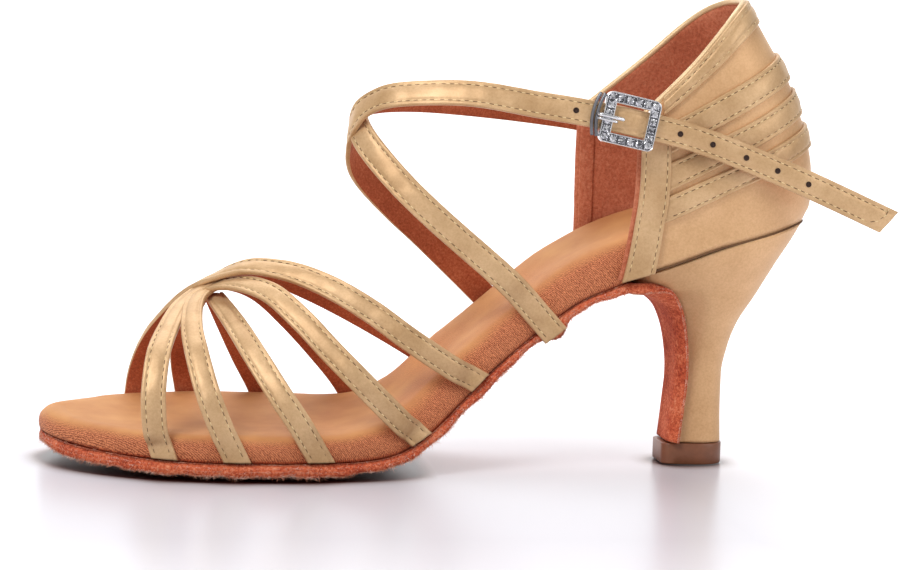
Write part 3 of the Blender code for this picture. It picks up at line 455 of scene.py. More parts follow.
class Shader:
    """A new material, with short ways to add nodes to it."""

    def __init__(self, name):
        self.material = bpy.data.materials.new(name)
        self.material.use_nodes = True
        self.nodes = self.material.node_tree.nodes
        self.links = self.material.node_tree.links
        self.surface = self.nodes["Principled BSDF"]

    def feed(self, socket, value):
        """Sets a socket to a number or a colour, or links an output to it."""
        if isinstance(value, (int, float)):
            socket.default_value = value
        elif isinstance(value, tuple):
            socket.default_value = (*value, 1)
        else:
            self.links.new(value, socket)

    def finish(self, values):
        """Sets the surface's own sockets by name."""
        for name, value in values.items():
            self.feed(self.surface.inputs[name], value)

    def node(self, kind, output, values, **settings):
        """The output of a new node with these settings and inputs."""
        node = self.nodes.new("ShaderNode" + kind)
        for name, value in settings.items():
            setattr(node, name, value)
        for name, value in values.items():
            self.feed(node.inputs[name], value)
        return node.outputs[output]

    def where(self):
        return self.node("TexCoord", "Object", {})

    def noise(self, where, scale, detail=3.0, roughness=0.55, distortion=0.0):
        values = {"Vector": where, "Scale": scale, "Detail": detail}
        values.update({"Roughness": roughness, "Distortion": distortion})
        return self.node("TexNoise", "Fac", values)

    def wave(self, where, scale, distortion=0.0):
        values = {"Vector": where, "Scale": scale, "Distortion": distortion}
        values.update({"Detail": 1.0, "Detail Scale": 2.0})
        return self.node("TexWave", "Fac", values, bands_direction="DIAGONAL")

    def ramp(self, value, stops):
        node = self.nodes.new("ShaderNodeValToRGB")
        ramp = node.color_ramp
        while len(ramp.elements) < len(stops):
            ramp.elements.new(0.5)
        for element, (position, colour) in zip(ramp.elements, stops):
            element.position = position
            element.color = (*colour, 1)
        self.links.new(value, node.inputs["Fac"])
        return node.outputs["Color"]

    def math(self, operation, a, b):
        return self.node("Math", "Value", {0: a, 1: b}, operation=operation)

    def mix(self, share, a, b, kind="MIX"):
        return self.node("Mix", 2, {0: share, 6: a, 7: b}, data_type="RGBA", blend_type=kind)

    def rising(self, value, start, end, top):
        """From 0 where the value is at its start up to the top at its end."""
        values = {"Value": value, "From Min": start, "From Max": end, "To Min": 0.0, "To Max": top}
        return self.node("MapRange", "Result", values)

    def bump(self, height, distance, strength=1.0, before=None):
        values = {"Height": height, "Distance": distance, "Strength": strength}
        if before:
            values["Normal"] = before
        normal = self.node("Bump", "Normal", values)
        self.links.new(normal, self.surface.inputs["Normal"])
        return normal


def satin_material(name, light, dark, weave=1500.0, gloss=0.43):
    """Woven satin: fine threads under a soft, broad gloss."""
    shader = Shader(name)
    where = shader.where()
    cloud = shader.noise(where, 75, 3)
    slub = shader.noise(where, 1500, 2, 0.7)
    if weave:
        weft = shader.math("MULTIPLY", shader.wave(where, weave), 0.2)
        threads = shader.math("ADD", weft, slub)
    else:
        threads = shader.math("ADD", slub, 0.1)
    base = shader.ramp(cloud, ((0.35, dark), (0.65, light)))
    specks = shader.ramp(threads, ((0.36, (0.84, 0.78, 0.68)), (0.74, WHITE)))
    shader.finish({
        "Base Color": shader.mix(0.85, base, specks, "MULTIPLY"),
        "Roughness": shader.math("ADD", shader.math("MULTIPLY", slub, 0.18), gloss - 0.09),
        "Metallic": 0.30,
        "Specular IOR Level": 0.55,
        "Sheen Weight": 0.12,
        "Sheen Roughness": 0.4,
        "Sheen Tint": (1.0, 0.86, 0.62),
    })
    shader.bump(threads, 0.00005, 0.7, shader.bump(cloud, 0.0005, 0.4))
    return shader.material


def nap_material(name, stops, scale, distance, sheen, tint, rough=0.92, cloud_scale=70):
    """Suede or a napped lining: short fibres in light and dark patches."""
    shader = Shader(name)
    where = shader.where()
    nap = shader.noise(where, scale, 5, 0.72, 0.4)
    cloud = shader.math("MULTIPLY", shader.noise(where, cloud_scale, 3), 0.45)
    shade = shader.math("SUBTRACT", shader.math("ADD", cloud, nap), 0.22)
    shader.finish({
        "Base Color": shader.ramp(shade, stops),
        "Roughness": rough,
        "Specular IOR Level": 0.25,
        "Sheen Weight": sheen,
        "Sheen Roughness": 0.5,
        "Sheen Tint": tint,
    })
    shader.bump(nap, distance)
    return shader.material


def footbed_material():
    """Smooth tan nap on top; a redder side with a fine weave, painted darker on faces that turn from facing
    up, as shade from the light above.
    """
    shader = Shader("footbed_microfibre")
    where = shader.where()
    fine = shader.noise(where, 2600, 3, 0.7)
    cloud = shader.noise(where, 60, 4)
    twill = shader.math("MULTIPLY", shader.wave(where, 860, 5.0), 0.45)
    upward = shader.node("SeparateXYZ", "Z", {"Vector": shader.node("NewGeometry", "Normal", {})})
    level = shader.math("ADD", upward, shader.math("MULTIPLY", cloud, 0.25))
    # Painted shade: faces that turn from facing up take the darker side colour, as if shaded from the light
    # above.
    side = shader.ramp(level, ((0.45, (1, 1, 1)), (1.0, (0, 0, 0))))
    top = shader.ramp(cloud, ((0.3, (0.50, 0.200, 0.064)), (0.7, (0.64, 0.305, 0.107))))
    threads = shader.math("ADD", twill, fine)
    # The side colour is the fine weave and painted shade together, much darker than the top.
    side_weave_and_shade = shader.ramp(threads, ((0.45, (0.20, 0.034, 0.012)), (0.95, (0.76, 0.27, 0.115))))
    shader.finish({
        "Base Color": shader.mix(side, top, side_weave_and_shade),
        "Roughness": 0.68,
        "Specular IOR Level": 0.3,
        "Sheen Weight": 0.12,
        "Sheen Tint": (1.0, 0.75, 0.55),
    })
    side_height = shader.math("MULTIPLY", threads, side)
    shader.bump(side_height, 0.00012, 0.8, shader.bump(fine, 0.00003))
    return shader.material


def plain_material(name, colour, rough, metallic=0.0):
    """Thread, plastic or metal, with a faint grain in its colour and gloss."""
    shader = Shader(name)
    grain = shader.noise(shader.where(), 350, 4, 0.6)
    dark = tuple(c * 0.78 for c in colour)
    shader.finish({
        "Base Color": shader.ramp(grain, ((0.3, dark), (0.7, colour))),
        "Roughness": shader.math("ADD", shader.math("MULTIPLY", grain, 0.16), rough),
        "Metallic": metallic,
    })
    return shader.material


def stone_material():
    """Cut crystal: small cells painted from nearly black to white, as painted glints and dark reflections."""
    shader = Shader("clear_stone")
    glint_cells = shader.node("TexVoronoi", "Color", {"Vector": shader.where(), "Scale": 1500})
    shade = shader.node("SeparateColor", "Red", {"Color": glint_cells})
    # Painted reflections: each cell takes a grey from near black to white, as a glint of light or of dark.
    painted_glint_greys = ((0.0, (0.06, 0.06, 0.07)), (0.25, (0.35, 0.35, 0.38)), (0.5, (0.80, 0.80, 0.85)), (1.0, WHITE))
    shader.finish({
        "Base Color": shader.ramp(shade, painted_glint_greys),
        "Metallic": 0.85,
        "Roughness": 0.08,
        "Coat Weight": 1.0,
    })
    return shader.material


SATIN = satin_material("gold_satin", (0.69, 0.455, 0.245), (0.53, 0.325, 0.155))
HEEL_SATIN = satin_material("heel_satin", (0.74, 0.455, 0.235), (0.66, 0.39, 0.19), weave=0, gloss=0.5)
EDGE_SATIN = satin_material("edge_satin", (0.80, 0.58, 0.34), (0.66, 0.46, 0.25))
LINING = nap_material(
    "rust_lining",
    ((0.25, (0.24, 0.048, 0.018)), (0.50, (0.42, 0.100, 0.040)), (0.75, (0.60, 0.19, 0.090))),
    1500, 0.00014, 0.2, (1.0, 0.55, 0.35),
)
CUP_LINING = nap_material(
    "cup_lining",
    ((0.25, (0.33, 0.080, 0.036)), (0.50, (0.52, 0.155, 0.078)), (0.75, (0.70, 0.28, 0.16))),
    1100, 0.00025, 0.2, (1.0, 0.6, 0.4),
)
SUEDE = nap_material(
    "rust_suede",
    (
        (0.26, (0.22, 0.025, 0.011)),
        (0.42, (0.52, 0.080, 0.033)),
        (0.58, (0.78, 0.185, 0.080)),
        (0.78, (1.0, 0.50, 0.29)),
    ),
    1300, 0.00055, 0.06, (1.0, 0.6, 0.45), 0.97, 110,
)
FUZZ = nap_material(
    "suede_fibres",
    ((0.30, (0.50, 0.12, 0.06)), (0.50, (0.80, 0.36, 0.23)), (0.68, (1.0, 0.76, 0.64))),
    700, 0.0001, 0.2, (1.0, 0.7, 0.5), 0.95, 400,
)
FOOTBED_SKIN = footbed_material()
THREAD = plain_material("gold_thread", (0.92, 0.74, 0.40), 0.5)
# Painted shade: the dark inside and round a needle hole.
NEEDLE_HOLE_SHADE = plain_material("needle_hole_shade", (0.13, 0.070, 0.026), 0.8)
SEAM_DARK = plain_material("seam_shadow", (0.16, 0.075, 0.03), 0.8)
TIP_PLASTIC = plain_material("brown_plastic", (0.235, 0.085, 0.040), 0.30)
SILVER = plain_material("silver_metal", (0.86, 0.86, 0.88), 0.16, 1.0)
# Painted shade: a dark metal standing in for shade and dark reflections, on the groove under the stones and
# on the two bars.
PAINTED_SHADE_METAL = plain_material("metal_painted_shade", (0.22, 0.22, 0.24), 0.30, 1.0)
# Painted shade: the near-black inside a punched hole and on its rim.
PUNCHED_HOLE_SHADE = plain_material("punched_hole_shade", (0.045, 0.018, 0.010), 0.8)
STONE = stone_material()


# Meshes


def object_from(name, points, faces, materials, slots=None, smooth_faces=True):
    mesh = bpy.data.meshes.new(name)
    mesh.from_pydata([tuple(p) for p in points], [], faces)
    for material in materials:
        mesh.materials.append(material)
    if slots:
        mesh.polygons.foreach_set("material_index", slots)
    if smooth_faces:
        mesh.polygons.foreach_set("use_smooth", [True] * len(mesh.polygons))
    obj = bpy.data.objects.new(name, mesh)
    bpy.context.scene.collection.objects.link(obj)
    shape = bmesh.new()
    shape.from_mesh(mesh)
    bmesh.ops.recalc_face_normals(shape, faces=shape.faces)
    shape.to_mesh(mesh)
    shape.free()
    return obj


def one_slot(points, faces, slot=0):
    """A part whose faces all have one material number."""
    return points, faces, [slot] * len(faces)


def place(obj, slot, *nodes):
    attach(obj, "root")
    if nodes:
        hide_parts(*nodes)


def ring_faces(rings, size, offset=0, capped=True):
    faces = []
    for i in range(rings - 1):
        for j in range(size):
            k = (j + 1) % size
            a, b = offset + i * size, offset + (i + 1) * size
            faces.append((a + j, a + k, b + k, b + j))
    if capped:
        faces.append(tuple(offset + j for j in range(size)))
        faces.append(tuple(offset + (rings - 1) * size + j for j in reversed(range(size))))
    return faces


# Straps


Station = namedtuple("Station", "middle run across face width at")


def foot_points(foot, target, side, depth=-GAP):
    outset = FOOT_GAP + STRAP_THICKNESS / 2
    start, up = over_footbed(*edge(foot, side, outset), 0), up_at(foot)
    run = Vector((target.x - start.x, 0, target.z - start.z))
    run = run / run.dot(up)
    points = []
    for rise in (-depth, INSOLE * 0.5):
        point = start + run * rise
        _, point.y = edge(along_of(point.x - up.x * rise), side, outset)
        points.append(point)
    return points


def sole_run(foot, side):
    reach = 0.01
    ahead, behind = edge(foot + reach, side), edge(foot - reach, side)
    return (over_footbed(*ahead, 0) - over_footbed(*behind, 0)).normalized()


def foot_face(foot, side):
    return sole_run(foot, side).cross(up_at(foot)).normalized() * side


def even_places(points):
    """Evenly spaced places along points: the distance, the point before it and the share to the next."""
    lengths = [0.0]
    for a, b in zip(points, points[1:]):
        lengths.append(lengths[-1] + (b - a).length)
    count, j = int(lengths[-1] / STATION_SPACING), 0
    places = []
    for i in range(count + 1):
        at = lengths[-1] * i / count
        while j < len(lengths) - 2 and lengths[j + 1] < at:
            j += 1
        share = clamp((at - lengths[j]) / max(lengths[j + 1] - lengths[j], 1e-9), 0, 1)
        places.append((at, j, share))
    return places


def fine_stations(points, faces, widths, ends):
    """Evenly spaced stations of a strap through a few points."""
    last = len(points) - 1
    places = even_places([through(points, i / CURVE_STEPS) for i in range(last * CURVE_STEPS + 1)])
    total = places[-1][0]
    stations = []
    for at, j, share in places:
        p = mix(j / CURVE_STEPS, (j + 1) / CURVE_STEPS, share)
        ahead, behind = min(p + CURVE_REACH, last), max(p - CURVE_REACH, 0)
        run = (through(points, ahead) - through(points, behind)).normalized()
        face = through(faces, p)
        face = (face - run * face.dot(run)).normalized()
        across = run.cross(face).normalized()
        width = through(widths, p)
        for distance, direction in ((at, ends[0]), (total - at, ends[1])):
            if direction:
                sheared = max(1 - distance / (SHEAR_REACH * width), 0)
                toward = direction * math.copysign(1, direction.dot(across))
                across = across.lerp(toward, sheared).normalized()
        across = across * (width / across.cross(run).length)
        stations.append(Station(through(points, p), run, across, face, width, at))
    return stations


def strap_profile(width, stitched):
    """Section of a satin strap: share across, share of the thickness out, and a stitch row's dip."""
    row = 0.5 - STITCH_INSET / width
    top = [(-0.5, 0.05, 0), (-0.497, 0.30, 0), (-0.475, 0.47, 0), (-0.44, 0.53, 0)]
    if stitched:
        top += [(-row - 0.05, 0.54, 0.1), (-row, 0.50, 1), (-row + 0.05, 0.55, 0.1)]
    top += [(-0.18, 0.62, 0), (-0.08, 0.655, 0), (0.0, 0.665, 0)]
    top += [(-u, h, dip) for u, h, dip in reversed(top[:-1])]
    under = [(0.495, -0.25, 0), (0.47, -0.44, 0), (0.40, -0.5, 0)]
    return top + under + [(0.0, -0.47, 0)] + [(-u, h, dip) for u, h, dip in reversed(under)], len(top)


def strap_mesh(stations, thickness, stitched=True, bulge=None, seed=0.0, slant=0.0, start_slant=0.0):
    """Points, faces and material numbers of a strap: 0 satin, 1 lining. The slants lean its ends."""
    profile, outer_count = strap_profile(stations[0].width, stitched)
    size = len(profile)
    points = []
    for s in stations:
        pucker = 0.5 + 0.5 * math.cos(2 * math.pi * s.at / STITCH_PITCH)
        lift = bulge(s.at) if bulge else 0.0
        lean = slant * smooth(s.at, stations[-1].at - SLANT_REACH, stations[-1].at)
        lean += start_slant * smooth(-s.at, -SLANT_REACH, 0.0)
        for k, (u, h, dip) in enumerate(profile):
            height = h * thickness - dip * (STITCH_DIP + PUCKER_DIP * pucker) + lift
            if k < outer_count:
                height += RIPPLE * noise.noise(Vector((s.at * 260, u * 3, seed)))
            points.append(s.middle + s.across * u + s.run * (-u * lean) + s.face * height)
    faces = ring_faces(len(stations), size)
    ring_slots = [1 if outer_count < j < size - 2 else 0 for j in range(size)]
    return points, faces, ring_slots * (len(stations) - 1) + [0, 0]


def join_meshes(name, parts, materials, smooth_faces=True):
    points, faces, slots = [], [], []
    for part_points, part_faces, part_slots in parts:
        shift = len(points)
        points += part_points
        faces += [tuple(i + shift for i in face) for face in part_faces]
        slots += part_slots
    return object_from(name, points, faces, materials, slots, smooth_faces)


def stitch_shape():
    """A short thread, pointing along X, with its ends going down into the cloth."""
    half = ((0.5, -0.9, 0.5), (0.42, 0.0, 0.9), (0.2, 0.35, 1.0))
    rings = [(-x, z, r) for x, z, r in half] + list(reversed(half))
    points = []
    for x, z, r in rings:
        for k in range(6):
            turn = k * math.pi / 3
            points.append((x, math.cos(turn) * r, math.sin(turn) * r + z))
    return points, ring_faces(len(rings), 6)


STITCH_POINTS, STITCH_FACES = stitch_shape()
# Of each: share of the pitch, length, radius and material number
# The first is the dark mark painted as the needle hole's shade.
HOLE_SHADE_MARK = (0.0, 0.00140, 0.00010, 1)
STITCH_THREAD = (0.5, 0.0011, 0.00011, 0)


def stitch_at(middle, run, face, rng):
    """One pitch of a seam: a dark mark painted as the needle hole's shade, then the light thread."""
    parts = []
    for shift, length, radius, material in (HOLE_SHADE_MARK, STITCH_THREAD):
        side = face.cross(run).normalized()
        turned = (run + side * rng.uniform(-0.06, 0.06)).normalized()
        side = face.cross(turned).normalized()
        home = middle + run * shift * STITCH_PITCH
        points = []
        for x, y, z in STITCH_POINTS:
            points.append(home + turned * (x * length) + side * (y * radius) + face * (z * radius))
        parts.append(one_slot(points, STITCH_FACES, material))
    return parts


def station_at(stations, at):
    """The station nearest to a distance along a strap."""
    spacing = stations[1].at - stations[0].at
    return stations[int(clamp(round((at - stations[0].at) / spacing), 0, len(stations) - 1))]


def beside(s, offset, height):
    """A point at an offset across a station and a height over its middle."""
    return s.middle + s.across.normalized() * offset + s.face * height


def stitch_row(stations, offset, height, start=0.0, end=None, seed=1):
    """Stitches along a strap at an offset across it."""
    rng = random.Random(seed)
    end = stations[-1].at if end is None else end
    parts = []
    for i in range(int((end - start) / STITCH_PITCH)):
        s = station_at(stations, start + (i + 0.5) * STITCH_PITCH)
        parts += stitch_at(beside(s, offset, height), s.run, s.face, rng)
    return parts


def stitch_line(line, start, finish, height, seed):
    """Stitches between two places given as distances before the strap's end and across it."""
    rng = random.Random(seed)
    s, from_end = station_at(line, line[-1].at - start[0]), station_at(line, line[-1].at - finish[0])
    first, last = beside(s, start[1], height), beside(from_end, finish[1], height)
    count = max(1, round((last - first).length / STITCH_PITCH))
    parts = []
    for i in range(count):
        middle = first.lerp(last, (i + 0.5) / count)
        parts += stitch_at(middle, (last - first).normalized(), s.face, rng)
    return parts


def both_rows(stations, thickness, start=0.0, end=None, seed=1):
    parts = []
    for side in (-1, 1):
        offset = side * (stations[0].width / 2 - STITCH_INSET)
        parts += stitch_row(stations, offset, thickness * STITCH_LEVEL, start, end, seed=seed + side)
    return parts


def wrap_stations(strap):
    middles, faces = [], []
    for row in strap.rows:
        lifted = FOURTH_LIFT * smooth(row.height, 0.6, 0.8) if strap.name == "fourth" else 0.0
        height = base_height(row.along) + row.height * VAMP_HEIGHT + lifted
        middles.append(Vector((x_of(row.along), row.side * BALL_WIDTH, height)))
        angle = math.radians(row.face)
        faces.append(Vector((-TOE_LEAN * math.sin(angle), -math.cos(angle), math.sin(angle))))
    outer = foot_points(strap.outer_foot, middles[0], -1)
    inner = foot_points(strap.inner_foot, middles[-1], 1)
    outer_face, inner_face = foot_face(strap.outer_foot, -1), foot_face(strap.inner_foot, 1)
    gathered = KNOT_NARROWING / 2 if strap.name in ("fourth", "rear") else KNOT_NARROWING
    widths = [STRAP_WIDTH * (1 - gathered * max(face.z, 0) ** 3) for face in faces]
    return fine_stations(
        [*outer, *middles, *reversed(inner)],
        [outer_face, outer_face, *faces, inner_face, inner_face],
        [STRAP_WIDTH, STRAP_WIDTH, *widths, STRAP_WIDTH, STRAP_WIDTH],
        (sole_run(strap.outer_foot, -1), sole_run(strap.inner_foot, 1)),
    )


def route_stations(rows, foot, side, depth=-GAP):
    middles, faces = [], [foot_face(foot, side)] * 2
    for row in rows:
        turn, lift = math.radians(row.turn), math.radians(row.lift)
        level = math.cos(lift)
        middles.append(Vector((x_of(row.along), row.side * BALL_WIDTH, row.height * UPPER_HEIGHT)))
        faces.append(Vector((-math.sin(turn) * level, -math.cos(turn) * level, math.sin(lift))))
    middles = foot_points(foot, middles[0], side, depth) + middles
    widths = [ANKLE_STRAP_WIDTH] * len(middles)
    return fine_stations(middles, faces, widths, (sole_run(foot, side), None)), middles


def make_vamp():
    bands, threads = [], []
    for number, strap in enumerate(VAMP):
        stations = wrap_stations(strap)
        bands.append(strap_mesh(stations, STRAP_THICKNESS, seed=number * 7.0))
        end = stations[-1].at - ROW_END
        threads += both_rows(stations, STRAP_THICKNESS, ROW_END, end, seed=number * 5)
    place(join_meshes("vamp_straps_satin", bands, (SATIN, LINING)), "satin", "vamp_straps")
    place(join_meshes("vamp_stitches", threads, (THREAD, NEEDLE_HOLE_SHADE)), "satin")


def punched_hole(s):
    """The raised rim and sunk floor of a hole at a station, in near-black painted as the shade inside the
    hole.
    """
    across, top = s.across.normalized(), s.middle + s.face * STRAP_THICKNESS * 0.78
    turns = [k * math.pi / 10 for k in range(20)]
    spokes = [s.run * math.cos(turn) + across * math.sin(turn) for turn in turns]
    points = []
    for share, height in ((0.95, 0.0), (0.82, 0.00004), (0.7, -0.00002), (0.5, -0.00006)):
        points += [top + spoke * HOLE_RADIUS * share + s.face * height for spoke in spokes]
    return one_slot(points, ring_faces(4, len(spokes)))


def ankle_threads(long_line, short_line, buckle):
    """Both rows of each strap, with the long one's row turning round its slanted end."""
    threads = both_rows(long_line, STRAP_THICKNESS, ROW_END, buckle.at - 0.0075, seed=21)
    row, height = ANKLE_STRAP_WIDTH / 2 - STITCH_INSET, STRAP_THICKNESS * STITCH_LEVEL
    start, end = buckle.at + 0.0085, long_line[-1].at
    threads += stitch_row(long_line, -row, height, start, end - 0.002, seed=23)
    threads += stitch_row(long_line, row, height, start, end - 0.006, seed=24)
    corner = ((0.0060, row), (0.0035, 0.0012), (0.0019, -0.0016), (0.0019, -row))
    for number, (a, b) in enumerate(zip(corner, corner[1:])):
        threads += stitch_line(long_line, a, b, STRAP_THICKNESS * 0.62, 30 + number)
    return threads + both_rows(short_line, STRAP_THICKNESS, ROW_END, short_line[-1].at - ROW_END, seed=25)


def make_ankle():
    """Both ankle straps. Gives the station that the buckle lies on."""
    long_line, long_points = route_stations(LONG_STRAP, LONG_FOOT, 1)
    short_line, _ = route_stations(SHORT_STRAP, SHORT_FOOT, -1, SHORT_REACH)
    buckle_point = long_points[BUCKLE_ROW + 2]
    buckle = min(long_line, key=lambda s: (s.middle - buckle_point).length)

    def bulge(at):
        return BUCKLE_BULGE * smooth(0.0046 - abs(at - buckle.at), 0, 0.0035)

    bands = [
        strap_mesh(long_line, STRAP_THICKNESS, bulge=bulge, seed=50.0, slant=END_SLANT),
        strap_mesh(short_line, STRAP_THICKNESS, seed=60.0),
    ]
    materials = (SATIN, LINING, PUNCHED_HOLE_SHADE)
    place(join_meshes("ankle_straps_satin", bands, materials), "satin", "ankle_straps")
    threads = ankle_threads(long_line, short_line, buckle)
    place(join_meshes("ankle_stitches", threads, (THREAD, NEEDLE_HOLE_SHADE)), "satin")
    holes = []
    for i in (-1, 1, 2, 3, 4, 5):
        at = buckle.at + (i + math.copysign(0.5, i)) * HOLE_PITCH
        holes.append(punched_hole(min(long_line, key=lambda s: abs(s.at - at))))
    place(join_meshes("strap_holes", holes, (PUNCHED_HOLE_SHADE,)), "satin")
    return buckle


# Heel cup


def cup_front(side):
    reach = CUP_DEPTH if side < 0 else CUP_DEPTH + CUP_INNER_REACH
    return x_of(0) + GAP + WALL - reach


def cup_point(share, side, z):
    front, back = cup_front(side), x_of(0) + GAP + WALL
    level = z / UPPER_HEIGHT
    x, y = edge(along_of(front) * share**CUP_PACKING, side, GAP + WALL)
    forward = (back - x) / (back - front)
    flare = clamp((CUP[3].level - level) / (CUP[3].level - CUP[0].level), 0, 1) ** 2
    low_front = front - (CUP_FLARE * flare if side < 0 else 0)
    moved_back = back + read(CUP, "back", level) * CUP_DEPTH
    return Vector((mix(moved_back, low_front, forward), y * read(CUP, "width", level), z))


def cup_floor(share, side):
    front = cup_front(side)
    along = along_of(front) * share**CUP_PACKING
    x, y = edge(along, side, GAP + WALL)
    return over_footbed(x, y, 0).z


def line_height(line, share):
    return mix(line.back, line.front, (share**CUP_PACKING) ** line.bend) * UPPER_HEIGHT


def cup_normal(share, side, z):
    reach = 0.015
    low, high = max(share - reach, 0), min(share + reach, 1)
    if share < reach:
        around = cup_point(reach, 1, z) - cup_point(reach, -1, z)
    else:
        around = (cup_point(high, side, z) - cup_point(low, side, z)) * side
    rising = cup_point(share, side, z + 0.001) - cup_point(share, side, z - 0.001)
    return rising.cross(around).normalized() * -1


CUP_COLUMNS = [(-1, i / CUP_STEPS) for i in range(CUP_STEPS, 0, -1)]
CUP_COLUMNS += [(1, i / CUP_STEPS) for i in range(CUP_STEPS + 1)]


def share_behind(distance, depth=CUP_DEPTH):
    """Share round the cup at a distance behind its front edge."""
    return (1 - distance / depth) ** (1 / CUP_PACKING)


def make_counter():
    rows = 34
    outer, inner = [], []
    for side, share in CUP_COLUMNS:
        floor, top = cup_floor(share, side), line_height(TOPLINE, share)
        for i in range(rows):
            z = mix(floor, top, i / (rows - 1))
            point, out = cup_point(share, side, z), cup_normal(share, side, z)
            point = point + out * 0.00012 * noise.noise(point * 90)
            outer.append(point)
            inner.append(point - out * WALL)
    columns = len(CUP_COLUMNS)
    shift = columns * rows
    faces, slots = [], []
    for i in range(columns - 1):
        for j in range(rows - 1):
            a, b = i * rows + j, (i + 1) * rows + j
            faces.append((a, b, b + 1, a + 1))
            faces.append((shift + a + 1, shift + b + 1, shift + b, shift + a))
            slots += [0, 1]
    rim = [i * rows + rows - 1 for i in range(columns)]
    rim += [(columns - 1) * rows + j for j in reversed(range(rows - 1))]
    rim += [i * rows for i in reversed(range(columns - 1))] + [j for j in range(1, rows - 1)]
    faces += [(a, b, shift + b, shift + a) for a, b in zip(rim, rim[1:] + rim[:1])]
    slots += [0] * len(rim)
    cup = object_from("heel_cup_satin", outer + inner, faces, (HEEL_SATIN, CUP_LINING), slots)
    place(cup, "satin", "counter")


def cup_band(low, high, outer_start):
    """Stations of a band round the cup between two lines."""
    steps = 150
    columns = [(-1, mix(outer_start, 0, i / steps)) for i in range(steps)]
    columns += [(1, mix(0, 0.985, i / steps)) for i in range(steps + 1)]
    rows = []
    for side, share in columns:
        z0, z1 = line_height(low, share), line_height(high, share)
        bottom, top = cup_point(share, side, z0), cup_point(share, side, z1)
        z = (z0 + z1) / 2
        rows.append((cup_point(share, side, z), top - bottom, cup_normal(share, side, z)))
    stations = []
    for at, j, share in even_places([row[0] for row in rows]):
        a, b = rows[j], rows[j + 1]
        run = (rows[min(j + 2, len(rows) - 1)][0] - rows[max(j - 1, 0)][0]).normalized()
        across, face = a[1].lerp(b[1], share), a[2].lerp(b[2], share).normalized()
        face = (face - run * face.dot(run)).normalized()
        across = across - face * across.dot(face)
        middle = a[0].lerp(b[0], share) + face * BAND_LIFT
        stations.append(Station(middle, run, across, face, across.length, at))
    return stations


def upright_band():
    """Stations of the band up the outer side's front edge."""
    side = -1
    floor, top = cup_floor(1, side), line_height(TOPLINE, 1)
    middle_share, back_share = share_behind(FRONT_BAND / 2), share_behind(FRONT_BAND)
    count = int((top - floor) / STATION_SPACING)
    stations, at, before = [], 0.0, None
    for i in range(count + 1):
        z = mix(floor + 0.0010, top - 0.0005, i / count)
        middle = cup_point(middle_share, side, z)
        across = cup_point(1, side, z) - cup_point(back_share, side, z)
        face = cup_normal(middle_share, side, z)
        at += (middle - before).length if before else 0.0
        before = middle
        above, below = cup_point(middle_share, side, z + 0.0005), cup_point(middle_share, side, z - 0.0005)
        run = (above - below).normalized()
        stations.append(Station(middle + face * UPRIGHT_LIFT, run, across, face, across.length, at))
    return stations


def make_cup_bands():
    bands, threads = [], []
    start = share_behind(FRONT_BAND - 0.002)
    for number, (low, high) in enumerate(BANDS):
        stations = cup_band(low, high, start)
        bands.append(strap_mesh(stations, BAND_THICKNESS, seed=100.0 + number * 9))
        for side in (-1, 1):
            row = []
            for s in stations:
                rim = s.middle + s.across * side * 0.5
                row.append(s._replace(middle=rim - s.across.normalized() * side * STITCH_INSET))
            threads += stitch_row(row, 0.0, BAND_THICKNESS * STITCH_LEVEL, 0.004, seed=number * 3 + side)
    upright = upright_band()
    bands.append(strap_mesh(upright, UPRIGHT_THICKNESS, seed=170.0, start_slant=UPRIGHT_SLANT))
    threads += both_rows(upright, UPRIGHT_THICKNESS, ROW_END, upright[-1].at - ROW_END, seed=77)
    place(join_meshes("heel_cup_bands", bands, (SATIN, LINING)), "satin")
    place(join_meshes("heel_cup_stitches", threads, (THREAD, NEEDLE_HOLE_SHADE)), "satin")


def tube(path, radius, material, sides=10):
    """Round cord through points."""
    points = []
    for i, p in enumerate(path):
        run = (path[min(i + 1, len(path) - 1)] - path[max(i - 1, 0)]).normalized()
        first = run.cross(Vector((0.3, 0.2, 0.9))).normalized()
        second = run.cross(first)
        for k in range(sides):
            turn = 2 * math.pi * k / sides
            points.append(p + first * math.cos(turn) * radius + second * math.sin(turn) * radius)
    return one_slot(points, ring_faces(len(path), sides), material)


def wall_middle(side, share, z):
    return cup_point(share, side, z) - cup_normal(share, side, z) * WALL * 0.5


def make_piping():
    """Cord round the cup's rim and down its front edges, and the binding inside the far one."""
    top = line_height(TOPLINE, 1)
    rim = [wall_middle(side, share, line_height(TOPLINE, share)) for side, share in CUP_COLUMNS]
    cords = [tube(rim, PIPING_RADIUS, 0)]
    for side in (1, -1):
        levels = [mix(cup_floor(1, side), top, i / 59) for i in range(60)]
        cords.append(tube([wall_middle(side, 1, z) for z in levels], PIPING_RADIUS, 1))
    place(join_meshes("heel_cup_piping", cords, (EDGE_SATIN, CUP_LINING)), "satin")
    depth = CUP_DEPTH + CUP_INNER_REACH
    share, back_share = share_behind(BINDING_WIDTH / 2, depth), share_behind(BINDING_WIDTH, depth)
    binding = []
    for i in range(90):
        z = mix(cup_floor(1, 1) + 0.001, top - 0.001, i / 89)
        out = cup_normal(share, 1, z)
        front, back = cup_point(1, 1, z), cup_point(back_share, 1, z)
        across, middle = front - back, (front + back) / 2 - out * (WALL + GAP)
        binding.append(Station(middle, Vector((0, 0, 1)), across, -out, across.length, i * 0.0005))
    strip = join_meshes("heel_cup_binding", [strap_mesh(binding, 0.0007, False)], (CUP_LINING, CUP_LINING))
    place(strip, "satin")


# Sole and heel


def across_footbed(start, end, share, up):
    """A point between two others, at a height over the footbed's underside."""
    x, y = mix(start.x, end.x, share), mix(start.y, end.y, share)
    return over_footbed(x - up_at(along_of(x)).x * up, y, up)


